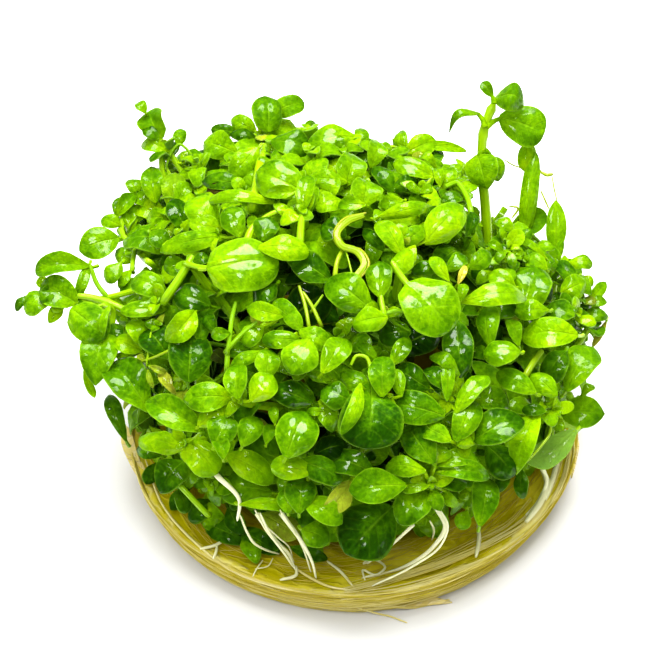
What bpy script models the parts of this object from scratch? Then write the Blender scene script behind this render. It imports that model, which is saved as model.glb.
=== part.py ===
"""Hygrophila raised in a cup of plant jelly: one portion, lifted out of its cup and stood on its pad.

The pad is a low tapered disc of jelly with a mat of roots wound round its side. Stems rise from the
jelly and spread into a dome, and each stem carries a head of small leaves. Longer shoots stick out of
the dome at the back, at both sides and at the upper left, and a few loose roots hang at the front.
The single leaves of the bare tall shoot are solids of their own. The leaves of every other shoot are
too many for that, so one closed solid that reaches their tips stands for each leafy head.

Metres, +Z up, the front at -Y. The origin is the middle of the pad's flat underside.
"""

import math

import bpy
import bmesh
from mathutils import Vector

MM = 0.001
GAP = 0.3 * MM                      # clear space between two pieces that touch in life
MERGE_DISTANCE = 0.01 * MM          # points closer than this are one point

# Jelly pad and the root mat round it
PAD_HEIGHT = 7.0 * MM               # underside to the jelly's top
PAD_TOP_RADIUS = 39.7 * MM          # outside of the mat at its lip
PAD_BOTTOM_RADIUS = 36.5 * MM       # outside of the mat on the table
MAT_THICKNESS = 1.5 * MM
MAT_LIP = 0.8 * MM                  # the mat's rim stands this much above the jelly
MAT_BULGE = 0.5 * MM                # the mat's side bows out this much at half its height
JELLY_RISE = 0.5 * MM               # the jelly's top swells this much towards its middle
JELLY_SHOULDER = 0.6                # where the swell starts to fall off, as a share of the jelly's radius
SHOULDER_DROP = 0.3                 # how much of the swell is lost there
TURN_STEPS = 48

# Leafy dome
DOME_CENTRE = Vector((0.0, 6.0, 23.0)) * MM
DOME_RADII = Vector((43.0, 44.5, 33.5)) * MM
HEAD_COUNT = 16
HEAD_DEPTH = 0.72                   # where a head's middle lies between the dome's centre and its skin
HEAD_REACH = 14.5 * MM              # half width of a head across its stem
HEAD_HEIGHT = 12.5 * MM             # half height of a head along its stem
LOWEST_HEAD = math.radians(112)     # how far round from the top the heads go
FIRST_HEAD_TURN = math.radians(22)
GOLDEN_TURN = math.pi * (3.0 - math.sqrt(5.0))

# Stems
STEM_RADIUS = 1.1 * MM
STEM_TAPER = 0.75                   # radius at a stem's top over the radius at its foot
FOOT_SPREAD = 0.46                  # a foot's distance from the dome's axis over its head's distance
FOOT_HEIGHT = PAD_HEIGHT + GAP      # the stems' lower ends, just clear of the jelly
KNEE_REACH = 0.25                   # how far out from its foot towards its head a stem is at half its height
STRAIGHT_FOOT = Vector((0.0, 0.0, 2.5)) * MM    # a stem leaves the jelly upright
STEM_POINTS = 9
STEM_SEARCH_STEPS = 200             # how finely a stem is searched for the place where it meets its head
UNDER_HEAD = 0.5                    # a head's flat underside, as a share of its half height

# Single leaves
LEAF_THICKNESS = 0.5 * MM
LEAF_BASE_WIDTH = 1.2 * MM
LEAF_POINTS = 4
LEAF_SAG = 0.12                     # how far a leaf's edges hang below its middle, as a share of its width
LEAF_STRETCH = 0.85                 # moves the widest place of a leaf a little past the middle of its length

# Loose roots
ROOT_POINTS = 11

FRONT_FACING = Vector((0.0, -0.7, 0.7))


def at_mm(x, y, z):
    """A place given in millimetres, as a vector in metres."""
    return Vector((x, y, z)) * MM


def clear_scene():
    """Removes what the scene holds, so that the model starts from nothing."""
    for thing in list(bpy.data.objects):
        bpy.data.objects.remove(thing, do_unlink=True)


def new_collection(name):
    """Makes a collection in the scene and returns it."""
    collection = bpy.data.collections.new(name)
    bpy.context.scene.collection.children.link(collection)
    return collection


def new_material(name, colour, roughness):
    """Makes a Principled BSDF material with one colour and one roughness."""
    material = bpy.data.materials.new(name)
    material.use_nodes = True
    shader = material.node_tree.nodes["Principled BSDF"]
    shader.inputs["Base Color"].default_value = (*colour, 1.0)
    shader.inputs["Roughness"].default_value = roughness
    shader.inputs["Metallic"].default_value = 0.0
    return material


def add_piece(collection, name, data, material):
    """Links an object with the given mesh or curve, under the name of its node."""
    data.materials.append(material)
    piece = bpy.data.objects.new(name, data)
    collection.objects.link(piece)
    return piece


class SmoothPath:
    """A smooth curve through a few points, measured by its length, so that close points never loop it."""

    def __init__(self, points):
        self.points = points
        self.spans = [(end - start).length for start, end in zip(points, points[1:])]
        self.length = sum(self.spans)

    def slope(self, index):
        """Direction of the curve at one of its points, per metre of its length."""
        if index == 0:
            return (self.points[1] - self.points[0]) / self.spans[0]
        if index == len(self.spans):
            return (self.points[-1] - self.points[-2]) / self.spans[-1]
        before = self.spans[index - 1]
        after = self.spans[index]
        arriving = (self.points[index] - self.points[index - 1]) / before
        leaving = (self.points[index + 1] - self.points[index]) / after
        return (arriving * after + leaving * before) / (before + after)

    def at(self, share):
        """The point at a share of the curve's length, 0 at its start and 1 at its end."""
        place = min(max(share, 0.0), 1.0) * self.length
        index = 0
        while index < len(self.spans) - 1 and place > self.spans[index]:
            place -= self.spans[index]
            index += 1
        span = self.spans[index]
        part = min(place / span, 1.0)
        squared = part * part
        cubed = squared * part
        return (
            self.points[index] * (2 * cubed - 3 * squared + 1)
            + self.slope(index) * (span * (cubed - 2 * squared + part))
            + self.points[index + 1] * (3 * squared - 2 * cubed)
            + self.slope(index + 1) * (span * (cubed - squared))
        )


# Turned pieces

def turned(collection, name, profile, closed, material):
    """Turns a profile, given as radius and height, round the Z axis.

    The profile runs down its outer side from top to bottom, so that the faces point outwards.
    """
    mesh = bpy.data.meshes.new(name)
    points = [(radius, 0.0, height) for radius, height in profile]
    edges = [(index, index + 1) for index in range(len(points) - 1)]
    if closed:
        edges.append((len(points) - 1, 0))
    mesh.from_pydata(points, edges, [])
    piece = add_piece(collection, name, mesh, material)
    screw = piece.modifiers.new("turn", "SCREW")
    screw.axis = "Z"
    screw.angle = math.tau
    screw.steps = TURN_STEPS
    screw.render_steps = TURN_STEPS
    screw.use_merge_vertices = True
    screw.merge_threshold = MERGE_DISTANCE
    screw.use_smooth_shade = True
    return piece


def mat_outer_radius(height):
    """Outside radius of the root mat at a height above the table."""
    share = height / (PAD_HEIGHT + MAT_LIP)
    taper = PAD_BOTTOM_RADIUS + (PAD_TOP_RADIUS - PAD_BOTTOM_RADIUS) * share
    bulge = MAT_BULGE * math.sin(math.pi * share)
    return taper + bulge


def build_jelly(collection, material):
    """The jelly pad: a solid of revolution with a flat underside."""
    top_radius = mat_outer_radius(PAD_HEIGHT) - MAT_THICKNESS - GAP
    middle_radius = mat_outer_radius(PAD_HEIGHT / 2) - MAT_THICKNESS - GAP
    bottom_radius = mat_outer_radius(0.0) - MAT_THICKNESS - GAP
    profile = [
        (0.0, PAD_HEIGHT),
        (top_radius * JELLY_SHOULDER, PAD_HEIGHT - JELLY_RISE * SHOULDER_DROP),
        (top_radius, PAD_HEIGHT - JELLY_RISE),
        (middle_radius, PAD_HEIGHT / 2),
        (bottom_radius, 0.0),
        (0.0, 0.0),
    ]
    return turned(collection, "jelly_pad", profile, False, material)


def build_root_mat(collection, material):
    """The mat of roots that was pressed against the cup: a thin ring round the jelly."""
    lip = PAD_HEIGHT + MAT_LIP
    heights = [lip, PAD_HEIGHT / 2, 0.0]
    outer = [(mat_outer_radius(height), height) for height in heights]
    inner = [(mat_outer_radius(height) - MAT_THICKNESS, height) for height in reversed(heights)]
    return turned(collection, "root_mat", outer + inner, True, material)


# Stems and roots

def rod(collection, name, points, radius, taper, material):
    """A round rod along the points, with filled ends, thinner towards its last point."""
    curve = bpy.data.curves.new(name, "CURVE")
    curve.dimensions = "3D"
    curve.bevel_depth = radius
    curve.bevel_resolution = 2
    curve.use_fill_caps = True
    spline = curve.splines.new("POLY")
    spline.points.add(len(points) - 1)
    for index, place in enumerate(points):
        spline.points[index].co = (*place, 1.0)
        spline.points[index].radius = 1.0 + (taper - 1.0) * index / (len(points) - 1)
    return add_piece(collection, name, curve, material)


class Shoot:
    """A stem's path, and the leafy head at its top if it has one."""

    def __init__(self, name, route, reach=None, height=None):
        self.stem_name = name + "_stem"
        self.head_name = name + "_leaves"
        self.path = SmoothPath(route)
        self.reach = reach
        self.height = height
        self.middle = route[-1]

    def under(self):
        """Distance from the head's middle down to its flat underside."""
        return self.height * UNDER_HEAD

    def stem_path(self):
        """Points along the stem, which stops just under its head."""
        last = 1.0
        if self.reach:
            for index in range(STEM_SEARCH_STEPS, 0, -1):
                last = index / STEM_SEARCH_STEPS
                if (self.path.at(last) - self.middle).length >= self.under() + GAP:
                    break
        return [self.path.at(last * index / STEM_POINTS) for index in range(STEM_POINTS + 1)]

    def rise(self):
        """Direction of the stem where it enters its head."""
        return (self.middle - self.stem_path()[-1]).normalized()


def dome_shoots():
    """Shoots whose heads tile the dome, spaced by the golden angle from the top downwards."""
    shoots = []
    lowest = math.cos(LOWEST_HEAD)
    for index in range(HEAD_COUNT):
        height = 1.0 - (index + 0.5) / HEAD_COUNT * (1.0 - lowest)
        ring = math.sqrt(1.0 - height * height)
        turn = FIRST_HEAD_TURN + index * GOLDEN_TURN
        outward = Vector((ring * math.cos(turn), ring * math.sin(turn), height))
        head = DOME_CENTRE + Vector([a * b for a, b in zip(outward, DOME_RADII)]) * HEAD_DEPTH
        foot = DOME_CENTRE + Vector((head.x - DOME_CENTRE.x, head.y - DOME_CENTRE.y, 0.0)) * FOOT_SPREAD
        foot.z = FOOT_HEIGHT
        knee = foot.lerp(head, KNEE_REACH)
        knee.z = (foot.z + head.z) / 2
        route = [foot, foot + STRAIGHT_FOOT, knee, head]
        shoots.append(Shoot(f"shoot_{index + 1:02d}", route, HEAD_REACH, HEAD_HEIGHT))
    return shoots


def long_shoots():
    """Side shoots that stick out of the dome's skin, each with its own route and a smaller head."""
    return [
        Shoot(
            "left_long",
            [at_mm(-38, 0, 36), at_mm(-44, 2, 37.5), at_mm(-52, 4, 37)],
            reach=8.5 * MM,
            height=7.0 * MM,
        ),
        Shoot(
            "left_hanging",
            [at_mm(-38, -8, 25), at_mm(-42, -7, 29), at_mm(-45, -6, 34)],
            reach=6.0 * MM,
            height=8.5 * MM,
        ),
        Shoot(
            "back_left",
            [at_mm(-26, 26, 38), at_mm(-30, 30, 42), at_mm(-34, 34, 47)],
            reach=8.0 * MM,
            height=7.5 * MM,
        ),
        Shoot(
            "right_side",
            [at_mm(38, 2, 24), at_mm(41, 4, 28), at_mm(43, 5, 33)],
            reach=7.5 * MM,
            height=8.5 * MM,
        ),
        Shoot(
            "right_low",
            [at_mm(37, -9, 13), at_mm(39, -9.5, 17), at_mm(41, -9, 21)],
            reach=6.5 * MM,
            height=6.0 * MM,
        ),
    ]


def bare_shoots():
    """Two shoots with no leafy head: their few leaves are solids of their own."""
    ground = FOOT_HEIGHT / MM
    return [
        Shoot("tall", [at_mm(17, 22, ground), at_mm(17, 22, ground + 2), at_mm(20.5, 19.5, 24),
                       at_mm(23.8, 18, 35.9), at_mm(23.4, 21, 42.6), at_mm(22.7, 24, 49.3),
                       at_mm(23.2, 27, 55.9), at_mm(24.7, 29, 59.3)]),
        Shoot("upright", [at_mm(26, 8, ground), at_mm(26, 8, ground + 2), at_mm(32, 9, 20),
                          at_mm(35.3, 12, 30.6), at_mm(35.7, 14, 35.2)]),
    ]


def loose_roots():
    """Routes and radii of the loose roots that hang over the jelly at the front."""
    return {
        "root_front_middle": (
            [at_mm(-12.2, -34.5, 22.0), at_mm(-8.8, -35.9, 16.6), at_mm(-6.9, -36.2, 11.5),
             at_mm(-6.3, -36.4, 7.9)],
            0.55 * MM,
        ),
        "root_front_left": (
            [at_mm(-16.3, -33.3, 20.5), at_mm(-13.8, -33.6, 15.6), at_mm(-10.6, -33.4, 9.6),
             at_mm(-9.8, -34.6, 7.9)],
            0.5 * MM,
        ),
        "root_left_thick": (
            [at_mm(-25.5, -26.0, 27.5), at_mm(-23.2, -29.6, 26.4), at_mm(-19.2, -33.0, 23.4),
             at_mm(-19.6, -34.6, 20.2)],
            0.75 * MM,
        ),
        "root_right_arc": (
            [at_mm(14.1, -33.4, 22.1), at_mm(15.6, -34.2, 19.0), at_mm(13.9, -34.3, 14.0),
             at_mm(8.1, -34.2, 8.1), at_mm(1.5, -36.3, 7.9)],
            0.6 * MM,
        ),
        "root_right_thin": (
            [at_mm(10.2, -34.6, 19.3), at_mm(6.3, -35.2, 14.7), at_mm(2.4, -34.4, 9.4)],
            0.4 * MM,
        ),
        "root_right_end": (
            [at_mm(32.8, -13.2, 12.5), at_mm(34.0, -14.6, 9.6), at_mm(32.6, -17.6, 7.9),
             at_mm(30.0, -21.6, 7.9)],
            0.55 * MM,
        ),
    }


# Leafy heads

def ball_wall(shoot, other):
    """The flat face between two heads, as a point and the direction to cut away."""
    across = other.middle - shoot.middle
    distance = across.length
    if distance > shoot.reach + other.reach:
        return None
    along = (distance ** 2 + shoot.reach ** 2 - other.reach ** 2) / (2 * distance)
    direction = across / distance
    return shoot.middle + direction * (along - GAP), direction


def rod_walls(shoot, path, radius):
    """Flat faces that keep a head clear of a rod beside it: one for each near place along the rod."""
    middles = [(start + end) / 2 for start, end in zip(path, path[1:])]
    walls = []
    for place in path + middles:
        across = place - shoot.middle
        if across.length < shoot.reach + radius:
            direction = across.normalized()
            walls.append((place - direction * (radius + 2 * GAP), direction))
    return walls


def build_head(collection, shoot, walls, material):
    """One leafy head: a ball drawn out across its stem, cut flat where it meets what is beside it."""
    shape = bmesh.new()
    bmesh.ops.create_icosphere(shape, subdivisions=2, radius=1.0)
    rise = shoot.rise()
    turn = Vector((0.0, 0.0, 1.0)).rotation_difference(rise)
    for point in shape.verts:
        stretched = Vector((point.co.x * shoot.reach, point.co.y * shoot.reach, point.co.z * shoot.height))
        point.co = shoot.middle + turn @ stretched
    underside = (shoot.middle - rise * shoot.under(), -rise)
    above_mat = (Vector((0.0, 0.0, PAD_HEIGHT + MAT_LIP + 2 * GAP)), Vector((0.0, 0.0, -1.0)))
    for place, direction in [underside, above_mat] + walls:
        bmesh.ops.bisect_plane(
            shape,
            geom=shape.verts[:] + shape.edges[:] + shape.faces[:],
            dist=MERGE_DISTANCE,
            plane_co=place,
            plane_no=direction,
            clear_outer=True,
        )
    bmesh.ops.remove_doubles(shape, verts=shape.verts[:], dist=GAP / 2)
    corners = [point.co.copy() for point in shape.verts]
    shape.clear()
    for corner in corners:
        shape.verts.new(corner)
    hull = bmesh.ops.convex_hull(shape, input=shape.verts[:])
    spare = hull["geom_interior"] + hull["geom_unused"]
    unused = {item for item in spare if isinstance(item, bmesh.types.BMVert)}
    bmesh.ops.delete(shape, geom=list(unused), context="VERTS")
    bmesh.ops.recalc_face_normals(shape, faces=shape.faces[:])
    mesh = bpy.data.meshes.new(shoot.head_name)
    shape.to_mesh(mesh)
    shape.free()
    return add_piece(collection, shoot.head_name, mesh, material)


def walls_of(shoot, shoots, rods):
    """Every flat face that keeps a head clear of the other heads and of the rods that pass it."""
    walls = [ball_wall(shoot, other) for other in shoots if other is not shoot]
    for name, path, radius in rods:
        if name != shoot.stem_name:
            walls += rod_walls(shoot, path, radius)
    return [wall for wall in walls if wall]


# Single leaves

def leaf_half_width(share, width):
    """Half width of a leaf at a share of its length: narrow at the stalk, widest past the middle."""
    belly = math.sin(math.pi * share ** LEAF_STRETCH)
    return max(width / 2 * belly, LEAF_BASE_WIDTH / 2)


def build_leaf(collection, name, base, tip, width, facing, arch, material):
    """A thin arched leaf from its base to its tip.

    Facing is the side that the upper face looks to, and arch is how far the middle bows that way.
    """
    along = tip - base
    across = along.cross(facing).normalized()
    upward = across.cross(along).normalized()
    shape = bmesh.new()
    bmesh.ops.create_grid(shape, x_segments=2, y_segments=6, size=0.5)
    for point in shape.verts:
        share = point.co.y + 0.5
        side = point.co.x * 2
        bow = arch * math.sin(math.pi * share)
        sag = -LEAF_SAG * width * side * side
        half = leaf_half_width(share, width)
        point.co = base + along * share + across * (side * half) + upward * (bow + sag)
    bmesh.ops.recalc_face_normals(shape, faces=shape.faces[:])
    mesh = bpy.data.meshes.new(name)
    shape.to_mesh(mesh)
    shape.free()
    mesh.shade_smooth()
    piece = add_piece(collection, name, mesh, material)
    wall = piece.modifiers.new("thickness", "SOLIDIFY")
    wall.thickness = LEAF_THICKNESS
    wall.offset = 0.0
    return piece


def single_leaves():
    """The leaves of the two bare shoots: base, tip, width, facing and arch of each."""
    return {
        "tall_leaf_tip_right": (
            at_mm(25.9, 28.6, 60.8), at_mm(29.2, 27.2, 60.2), 5.0 * MM, Vector((0.2, -0.8, 0.5)), 2.5 * MM,
        ),
        "tall_leaf_tip_left": (
            at_mm(23.9, 28.8, 60.8), at_mm(21.9, 28.0, 63.8), 2.2 * MM, FRONT_FACING, 0.2 * MM,
        ),
        "tall_leaf_upper_right": (
            at_mm(25.4, 26.4, 56.4), at_mm(32.6, 24.2, 53.4), 7.6 * MM, FRONT_FACING, 0.8 * MM,
        ),
        "tall_leaf_upper_left": (
            at_mm(21.6, 26.6, 57.2), at_mm(16.2, 24.6, 55.2), 2.6 * MM, Vector((-0.2, -0.3, 0.9)), 2.6 * MM,
        ),
        "tall_leaf_lower_left": (
            at_mm(21.9, 22.3, 49.8), at_mm(19.6, 20.0, 48.6), 5.4 * MM, FRONT_FACING, 0.6 * MM,
        ),
        "tall_leaf_lower_right": (
            at_mm(24.2, 23.0, 50.0), at_mm(26.2, 20.8, 47.6), 3.6 * MM, Vector((0.5, -0.6, 0.5)), 0.8 * MM,
        ),
        "curled_leaf": (
            at_mm(29.0, 18.6, 38.4), at_mm(30.8, 21.4, 52.0), 3.4 * MM, Vector((0.1, -1.0, 0.2)), 0.4 * MM,
        ),
        "upright_leaf": (
            at_mm(35.8, 14.3, 36.2), at_mm(35.6, 18.0, 46.2), 3.4 * MM, Vector((0.0, -1.0, 0.2)), 0.3 * MM,
        ),
    }


def build_part():
    """Builds every piece of the plant, in one collection."""
    clear_scene()
    collection = new_collection("hygrophila")
    jelly = new_material("jelly", (0.42, 0.33, 0.03), 0.25)
    mat = new_material("root_mat", (0.62, 0.52, 0.16), 0.4)
    root = new_material("root", (0.85, 0.86, 0.62), 0.35)
    stem = new_material("stem", (0.36, 0.55, 0.02), 0.3)
    leaf = new_material("leaf", (0.13, 0.38, 0.01), 0.25)

    build_jelly(collection, jelly)
    build_root_mat(collection, mat)

    rods = []
    for name, (route, radius) in loose_roots().items():
        curve = SmoothPath(route)
        path = [curve.at(index / ROOT_POINTS) for index in range(ROOT_POINTS + 1)]
        rod(collection, name, path, radius, STEM_TAPER, root)
        rods.append((name, path, radius))

    headed = dome_shoots() + long_shoots()
    for shoot in headed + bare_shoots():
        path = shoot.stem_path()
        rod(collection, shoot.stem_name, path, STEM_RADIUS, STEM_TAPER, stem)
        rods.append((shoot.stem_name, path, STEM_RADIUS))

    for name, (base, tip, width, facing, arch) in single_leaves().items():
        build_leaf(collection, name, base, tip, width, facing, arch, leaf)
        line = [base.lerp(tip, index / LEAF_POINTS) for index in range(LEAF_POINTS + 1)]
        rods.append((name, line, width / 2))

    for shoot in headed:
        build_head(collection, shoot, walls_of(shoot, headed, rods), leaf)


build_part()
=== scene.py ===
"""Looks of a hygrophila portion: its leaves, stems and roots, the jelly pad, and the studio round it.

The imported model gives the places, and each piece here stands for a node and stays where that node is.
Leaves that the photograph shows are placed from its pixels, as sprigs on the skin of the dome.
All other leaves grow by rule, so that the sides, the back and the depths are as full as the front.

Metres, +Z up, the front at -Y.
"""

import logging
import math
import random
from collections.abc import Callable, Sequence
from dataclasses import dataclass, field
from enum import Enum

import bmesh
import bpy
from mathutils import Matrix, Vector


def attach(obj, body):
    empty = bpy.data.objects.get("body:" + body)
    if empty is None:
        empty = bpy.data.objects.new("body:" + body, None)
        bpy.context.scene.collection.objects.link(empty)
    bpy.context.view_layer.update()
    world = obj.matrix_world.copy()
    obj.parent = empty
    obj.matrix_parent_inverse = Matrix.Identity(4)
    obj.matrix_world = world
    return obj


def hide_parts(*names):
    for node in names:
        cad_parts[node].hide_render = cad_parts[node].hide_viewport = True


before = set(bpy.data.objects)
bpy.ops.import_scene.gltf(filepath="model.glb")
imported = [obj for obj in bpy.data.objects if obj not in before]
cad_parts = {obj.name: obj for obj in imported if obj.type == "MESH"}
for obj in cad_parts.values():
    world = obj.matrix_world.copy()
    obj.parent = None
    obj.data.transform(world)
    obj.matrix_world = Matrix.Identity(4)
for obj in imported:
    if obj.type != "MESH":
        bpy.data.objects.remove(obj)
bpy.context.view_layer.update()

LOG = logging.getLogger("hygrophila")
MM = 0.001
UP = Vector((0.0, 0.0, 1.0))

GOLDEN_TURN = math.pi * (3.0 - math.sqrt(5.0))

Pixel = tuple[float, float]
Triple = tuple[float, float, float]
Colour = Triple
Route = Sequence[Vector]


def at_mm(x: float, y: float, z: float) -> Vector:
    """Gives a place in millimetres as a vector in metres."""
    return Vector((x, y, z)) * MM


def round_axis(reach: float, turn: float, height: float) -> Vector:
    """Gives the place at a distance from the Z axis, an angle round it and a height."""
    return Vector((reach * math.cos(turn), reach * math.sin(turn), height))


def golden_direction(index: int, count: int, drop: float, first_turn: float) -> Vector:
    """Gives one of many directions that the golden angle spreads evenly over the top of a unit ball.

    Args:
        index: The direction's number, counted from the top.
        count: How many directions there are.
        drop: How far below the ball's top the last one is.
        first_turn: The angle of the first one round the Z axis.

    Returns:
        The direction.
    """
    height = 1.0 - (index + 0.5) / count * drop
    ring = math.sqrt(1.0 - height * height)
    return round_axis(ring, first_turn + index * GOLDEN_TURN, height)


def add_object(name: str, data: bpy.types.ID) -> bpy.types.Object:
    """Adds an object to the scene.

    Args:
        name: The object's name.
        data: Its mesh, light or camera.

    Returns:
        The object.
    """
    made = bpy.data.objects.new(name, data)
    bpy.context.scene.collection.objects.link(made)
    return made


def to_mesh(name: str, shape: bmesh.types.BMesh) -> bpy.types.Mesh:
    """Turns a shape into a mesh and frees the shape.

    Args:
        name: The mesh's name.
        shape: The shape.

    Returns:
        The mesh.
    """
    mesh = bpy.data.meshes.new(name)
    shape.to_mesh(mesh)
    shape.free()
    return mesh


# The photograph's frame


@dataclass(frozen=True)
class PhotoView:
    """The photograph's camera, and where its pixels lie in the part's frame."""

    frame_px: int = 665
    elevation: float = math.radians(43.0)
    distance: float = 0.62
    aim: Triple = (-0.0035, 0.0, 0.0315)
    lens: float = 192.92
    sensor: float = 36.0

    def toward(self) -> Vector:
        """Gives the direction from the object to the camera."""
        return Vector((0.0, -math.cos(self.elevation), math.sin(self.elevation)))

    def upward(self) -> Vector:
        """Gives the picture's upward direction."""
        return Vector((0.0, math.sin(self.elevation), math.cos(self.elevation)))

    def eye(self) -> Vector:
        """Gives the camera's place."""
        return Vector(self.aim) + self.toward() * self.distance

    def pixel_size(self, depth: float) -> float:
        """Gives the width of one pixel at a depth before the camera."""
        return depth * self.sensor / (self.lens * self.frame_px)

    def ray(self, pixel: Pixel) -> Vector:
        """Gives the way through a pixel that goes one metre deeper into the picture.

        Args:
            pixel: A pixel of the photograph.

        Returns:
            The way, from the camera.
        """
        across = (pixel[0] - self.frame_px / 2) * self.pixel_size(1.0)
        rise = (self.frame_px / 2 - pixel[1]) * self.pixel_size(1.0)
        return Vector((across, 0.0, 0.0)) + self.upward() * rise - self.toward()

    def depth_of(self, place: Vector) -> float:
        """Gives how deep a place lies in the picture."""
        return (self.eye() - place).dot(self.toward())

    def at_depth(self, pixel: Pixel, depth: float) -> Vector:
        """Gives the place behind a pixel at a depth."""
        return self.eye() + self.ray(pixel) * depth

    def at_height(self, pixel: Pixel, height: float) -> Vector:
        """Gives the place behind a pixel at a height over the floor.

        Args:
            pixel: A pixel of the photograph.
            height: The height.

        Returns:
            The place.
        """
        eye = self.eye()
        ray = self.ray(pixel)
        return eye + ray * ((height - eye.z) / ray.z)

    def pixel_of(self, place: Vector) -> Pixel:
        """Gives the pixel that a place shows at.

        Args:
            place: A place in the frame.

        Returns:
            Its pixel, with fractions.
        """
        depth = self.depth_of(place)
        offset = place - self.eye()
        size = self.pixel_size(depth)
        return (self.frame_px / 2 + offset.x / size, self.frame_px / 2 - offset.dot(self.upward()) / size)

    def build(self) -> bpy.types.Object:
        """Makes the camera.

        Returns:
            The camera object, which is also the scene's camera.
        """
        data = bpy.data.cameras.new("camera")
        data.lens = self.lens
        data.sensor_width = self.sensor
        camera = add_object("camera", data)
        camera.location = self.eye()
        camera.rotation_euler = self.toward().to_track_quat("Z", "Y").to_euler()
        bpy.context.scene.camera = camera
        return camera


@dataclass(frozen=True)
class Dome:
    """The rounded skin of the foliage, an ellipsoid."""

    centre: Triple = (0.0, 0.006, 0.023)
    radii: Triple = (0.043, 0.0445, 0.0335)

    def shrunk(self, offset: Vector) -> Vector:
        """Gives an offset in units of the dome's radii."""
        return Vector([part / radius for part, radius in zip(offset, self.radii)])

    def skin(self, outward: Vector) -> Vector:
        """Gives the skin's place in a direction of the unit ball."""
        return Vector(self.centre) + Vector([part * radius for part, radius in zip(outward, self.radii)])

    def outward(self, place: Vector) -> Vector:
        """Gives the skin's outward direction at or near a place."""
        inner = self.shrunk(place - Vector(self.centre))
        return self.shrunk(inner).normalized()

    def depth_behind(self, pixel: Pixel, view: PhotoView) -> float:
        """Finds how deep the skin lies behind a pixel.

        Args:
            pixel: A pixel of the photograph.
            view: The photograph's camera.

        Returns:
            The depth where the pixel's ray meets the skin, or passes nearest to it.
        """
        start = self.shrunk(view.eye() - Vector(self.centre))
        way = self.shrunk(view.ray(pixel))
        square = way.dot(way)
        slope = 2.0 * start.dot(way)
        rest = start.dot(start) - 1.0
        inside = max(slope * slope - 4.0 * square * rest, 0.0)
        return (-slope - math.sqrt(inside)) / (2.0 * square)


VIEW = PhotoView()
DOME = Dome()


# Curves


class SmoothPath:
    """A smooth curve through a few points, measured by its length, so that close points never loop it."""

    def __init__(self, points: Route) -> None:
        """Keeps the points and the distances between them.

        Args:
            points: The places that the curve passes through.
        """
        self.points = list(points)
        self.spans = [(end - start).length for start, end in zip(self.points, self.points[1:])]
        self.length = sum(self.spans)

    def slope(self, index: int) -> Vector:
        """Gives the curve's direction at one of its points.

        Args:
            index: The point's number, from 0.

        Returns:
            The direction, about one long.
        """
        if index == 0:
            return (self.points[1] - self.points[0]) / self.spans[0]
        if index == len(self.spans):
            return (self.points[-1] - self.points[-2]) / self.spans[-1]
        before = self.spans[index - 1]
        after = self.spans[index]
        arriving = (self.points[index] - self.points[index - 1]) / before
        leaving = (self.points[index + 1] - self.points[index]) / after
        return (arriving * after + leaving * before) / (before + after)

    def at(self, share: float) -> Vector:
        """Finds a place on the curve.

        Args:
            share: The share of the curve's length, 0 at its start and 1 at its end.

        Returns:
            The place there.
        """
        place = min(max(share, 0.0), 1.0) * self.length
        index = 0
        while index < len(self.spans) - 1 and place > self.spans[index]:
            place -= self.spans[index]
            index += 1
        span = self.spans[index]
        part = min(place / span, 1.0)
        squared = part * part
        cubed = squared * part
        return (
            self.points[index] * (2 * cubed - 3 * squared + 1)
            + self.slope(index) * (span * (cubed - 2 * squared + part))
            + self.points[index + 1] * (3 * squared - 2 * cubed)
            + self.slope(index + 1) * (span * (cubed - squared))
        )

    def even(self, steps: int, last: float = 1.0) -> list[Vector]:
        """Gives evenly spaced places along the curve, up to a share of its length."""
        return [self.at(last * index / steps) for index in range(steps + 1)]


# Meshes that are copied and bent


@dataclass(frozen=True)
class Marks:
    """What a finish reads from each point of a leaf, stem or root."""

    tone: float = 0.5
    age: float = 0.0
    wet: float = 0.5


MARK_NAMES = ("tone", "age", "wet")
SHADE_MAP = "blade"
CREASE_ANGLE = math.radians(50.0)


def map_round(shape: bmesh.types.BMesh, run: Callable[[Vector], float]) -> None:
    """Gives a round shape its map: the turn round the Z axis, and a run along it.

    Args:
        shape: The shape.
        run: A function from a place to its run.
    """
    flat = shape.loops.layers.uv.new(SHADE_MAP)
    for face in shape.faces:
        middle = face.calc_center_median()
        turn = math.atan2(middle.y, middle.x)
        for corner in face.loops:
            place = corner.vert.co
            gap = math.remainder(math.atan2(place.y, place.x) - turn, math.tau)
            corner[flat].uv = ((turn + gap) / math.tau + 0.5, run(place))


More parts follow.
